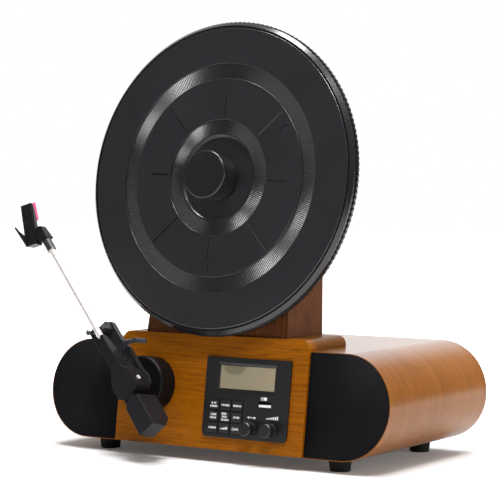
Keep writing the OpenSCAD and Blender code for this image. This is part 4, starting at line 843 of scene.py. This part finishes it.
    def print_mark(self, name: str, mark: Mark, at: tuple[float, float, float], body: str,
                   slot: str) -> None:
        """Prints one mark.

        Args:
            name: The piece's name.
            mark: What it shows.
            at: Its middle, right and up the slope, and the face that it is printed on.
            body: The body that the face belongs to.
            slot: The record's material slot of that face.
        """
        place = ON_FRONT @ Matrix.Translation((at[0], at[1], at[2] + self.ink * 0.3))
        self.maker.piece(name, self.draw(mark), body, "mark_white", slot, place, sharp=20)


@dataclass(frozen=True)
class Lamp:
    """A soft rectangular lamp: where it stands, what it faces, its size in metres and power in watts."""

    name: str
    at: Colour
    to: Colour
    size: tuple[float, float]
    power: float


# The one overhead gives the rim and the ribs their highlights
LAMPS = (
    Lamp("key", (0.6, -0.72, 1.6), (0, 0, 0.15), (0.5, 0.5), 24),
    Lamp("top", (-0.05, 0.0, 1.6), (0, -0.05, 0.2), (0.8, 0.35), 26),
    Lamp("side", (1.3, 0.15, 0.25), (0.15, 0, 0.05), (0.7, 0.4), 7),
    Lamp("back", (0.3, 0.9, 1.5), (0, 0, 0.1), (1.2, 0.8), 5),
)


@dataclass
class Studio:
    """The floor, the lamps and the camera."""

    camera_at: tuple[float, float, float] = (0.9026, -1.3489, 0.2361)
    camera_to: tuple[float, float, float] = (-0.0771, 0.0910, 0.1755)
    lens: float = 130.1
    floor_half: float = 8.0
    backdrop_way: tuple[float, float, float] = (-0.55, 0.82, 0.12)
    backdrop_edge: tuple[float, float] = (0.45, 0.85)
    backdrop_level: float = 0.7
    room_level: float = 0.06
    room_rise: float = 0.35

    def floor(self) -> None:
        """A white floor that keeps the player's shadow, and turns plain white farther out."""
        bm = bmesh.new()
        bmesh.ops.create_grid(bm, x_segments=2, y_segments=2, size=self.floor_half)
        mesh = bpy.data.meshes.new("floor")
        bm.to_mesh(mesh)
        bm.free()
        floor = bpy.data.objects.new("floor", mesh)
        bpy.context.scene.collection.objects.link(floor)
        dress = Dress("white_floor")
        x, y, _ = dress.split(dress.place(shift=(-0.02, -0.02, 0)))
        reach = (x * x + y * y) ** 0.5
        far = dress.step(reach, 0.25, 0.75)
        # A mirror sees it bright behind and beside the player, and farther out only at the backdrop
        behind = dress.step(y, -0.25, 0.05)
        side, depth, _ = self.backdrop_way
        backdrop = dress.step((x * side + y * depth) / (reach + 0.01), *self.backdrop_edge)
        near = dress.step(reach, 2.2, 1.2)
        bright = dress.math("MAXIMUM", behind * near, backdrop)
        rays = dress.node("ShaderNodeLightPath").outputs
        mirrored = Signal(dress, rays["Is Glossy Ray"]) * (bright * 0.95 + 0.05)
        seen = dress.math("MAXIMUM", Signal(dress, rays["Is Camera Ray"]), mirrored)
        glow = seen * (far * 0.94 + 0.06)
        diffuse = dress.node("ShaderNodeBsdfDiffuse", None, {"Color": (0.86, 0.86, 0.86)}).outputs[0]
        light = dress.node("ShaderNodeEmission", None, {"Color": (1, 1, 1), "Strength": glow}).outputs[0]
        both = dress.node("ShaderNodeAddShader", None, {0: diffuse, 1: light}).outputs[0]
        dress.node("ShaderNodeOutputMaterial", None, {0: both})
        mesh.materials.append(dress.material)

    def light(self, lamp: Lamp) -> None:
        """Sets up one lamp."""
        data = bpy.data.lights.new(lamp.name, "AREA")
        data.shape = "RECTANGLE"
        data.size, data.size_y = lamp.size
        data.energy = lamp.power
        made = bpy.data.objects.new(lamp.name, data)
        bpy.context.scene.collection.objects.link(made)
        made.location = lamp.at
        made.rotation_euler = (Vector(lamp.to) - Vector(lamp.at)).to_track_quat("-Z", "Y").to_euler()

    def world(self) -> None:
        """A white backdrop where the camera looks and a dim room elsewhere; the camera sees white."""
        dress = Dress("studio", world=True)
        toward = dress.node("ShaderNodeTexCoord").outputs["Generated"]
        right, back, up = dress.split(toward)
        rays = dress.node("ShaderNodeLightPath").outputs
        seen = dress.math("MAXIMUM", Signal(dress, rays["Is Camera Ray"]),
                          Signal(dress, rays["Is Transmission Ray"]))
        glossy = Signal(dress, rays["Is Glossy Ray"])
        side, depth, rise = self.backdrop_way
        facing = right * side + back * depth + up * rise
        behind = dress.step(facing, *self.backdrop_edge)
        dim = self.room_level + dress.clamp(up) * self.room_rise
        room = dim + behind * (self.backdrop_level - dim)
        mirrored = dim + behind * (1 - dim)
        level = seen + (1 - seen) * (glossy * mirrored + (1 - glossy) * room)
        inputs = {"Color": (1.0, 1.0, 1.0), "Strength": level}
        light = dress.node("ShaderNodeBackground", None, inputs).outputs[0]
        dress.node("ShaderNodeOutputWorld", None, {0: light})
        bpy.context.scene.world = dress.material

    def camera(self) -> None:
        """The camera, at the photograph's angle."""
        data = bpy.data.cameras.new("camera")
        data.lens = self.lens
        data.sensor_width = 36
        data.clip_end = 50
        made = bpy.data.objects.new("camera", data)
        bpy.context.scene.collection.objects.link(made)
        made.location = self.camera_at
        look = Vector(self.camera_to) - Vector(self.camera_at)
        made.rotation_euler = look.to_track_quat("-Z", "Y").to_euler()
        bpy.context.scene.camera = made

    def build(self) -> None:
        """Sets up the studio."""
        self.floor()
        self.world()
        self.camera()
        for lamp in LAMPS:
            self.light(lamp)
        bpy.context.scene.view_settings.view_transform = "Standard"


def finish_parts(palette: Palette) -> None:
    """Gives each shown CAD part the finish of its material slot."""
    own = {"arm_pivot_screws": "bright_pin", "cue_lever": "lever_grey", "usb_socket": "socket_dark"}
    for entry in frame["record"]["subparts"]:
        mesh = frame["nodes"][entry["node"]].data
        mesh.materials.clear()
        mesh.materials.append(palette[own.get(entry["node"], entry["material_slot"])])


def main() -> None:
    """Builds the player's looks, sub-assembly by sub-assembly, and the studio round it."""
    logging.basicConfig(level=logging.INFO, format="%(message)s")
    palette = Palette()
    finish_parts(palette)
    maker = Maker(palette)
    for part in (Cabinet(maker), Platter(maker), Arm(maker), Panel(maker)):
        LOG.info("building %s", type(part).__name__)
        part.dress()
    Studio().build()


if __name__ == "__main__":
    main()
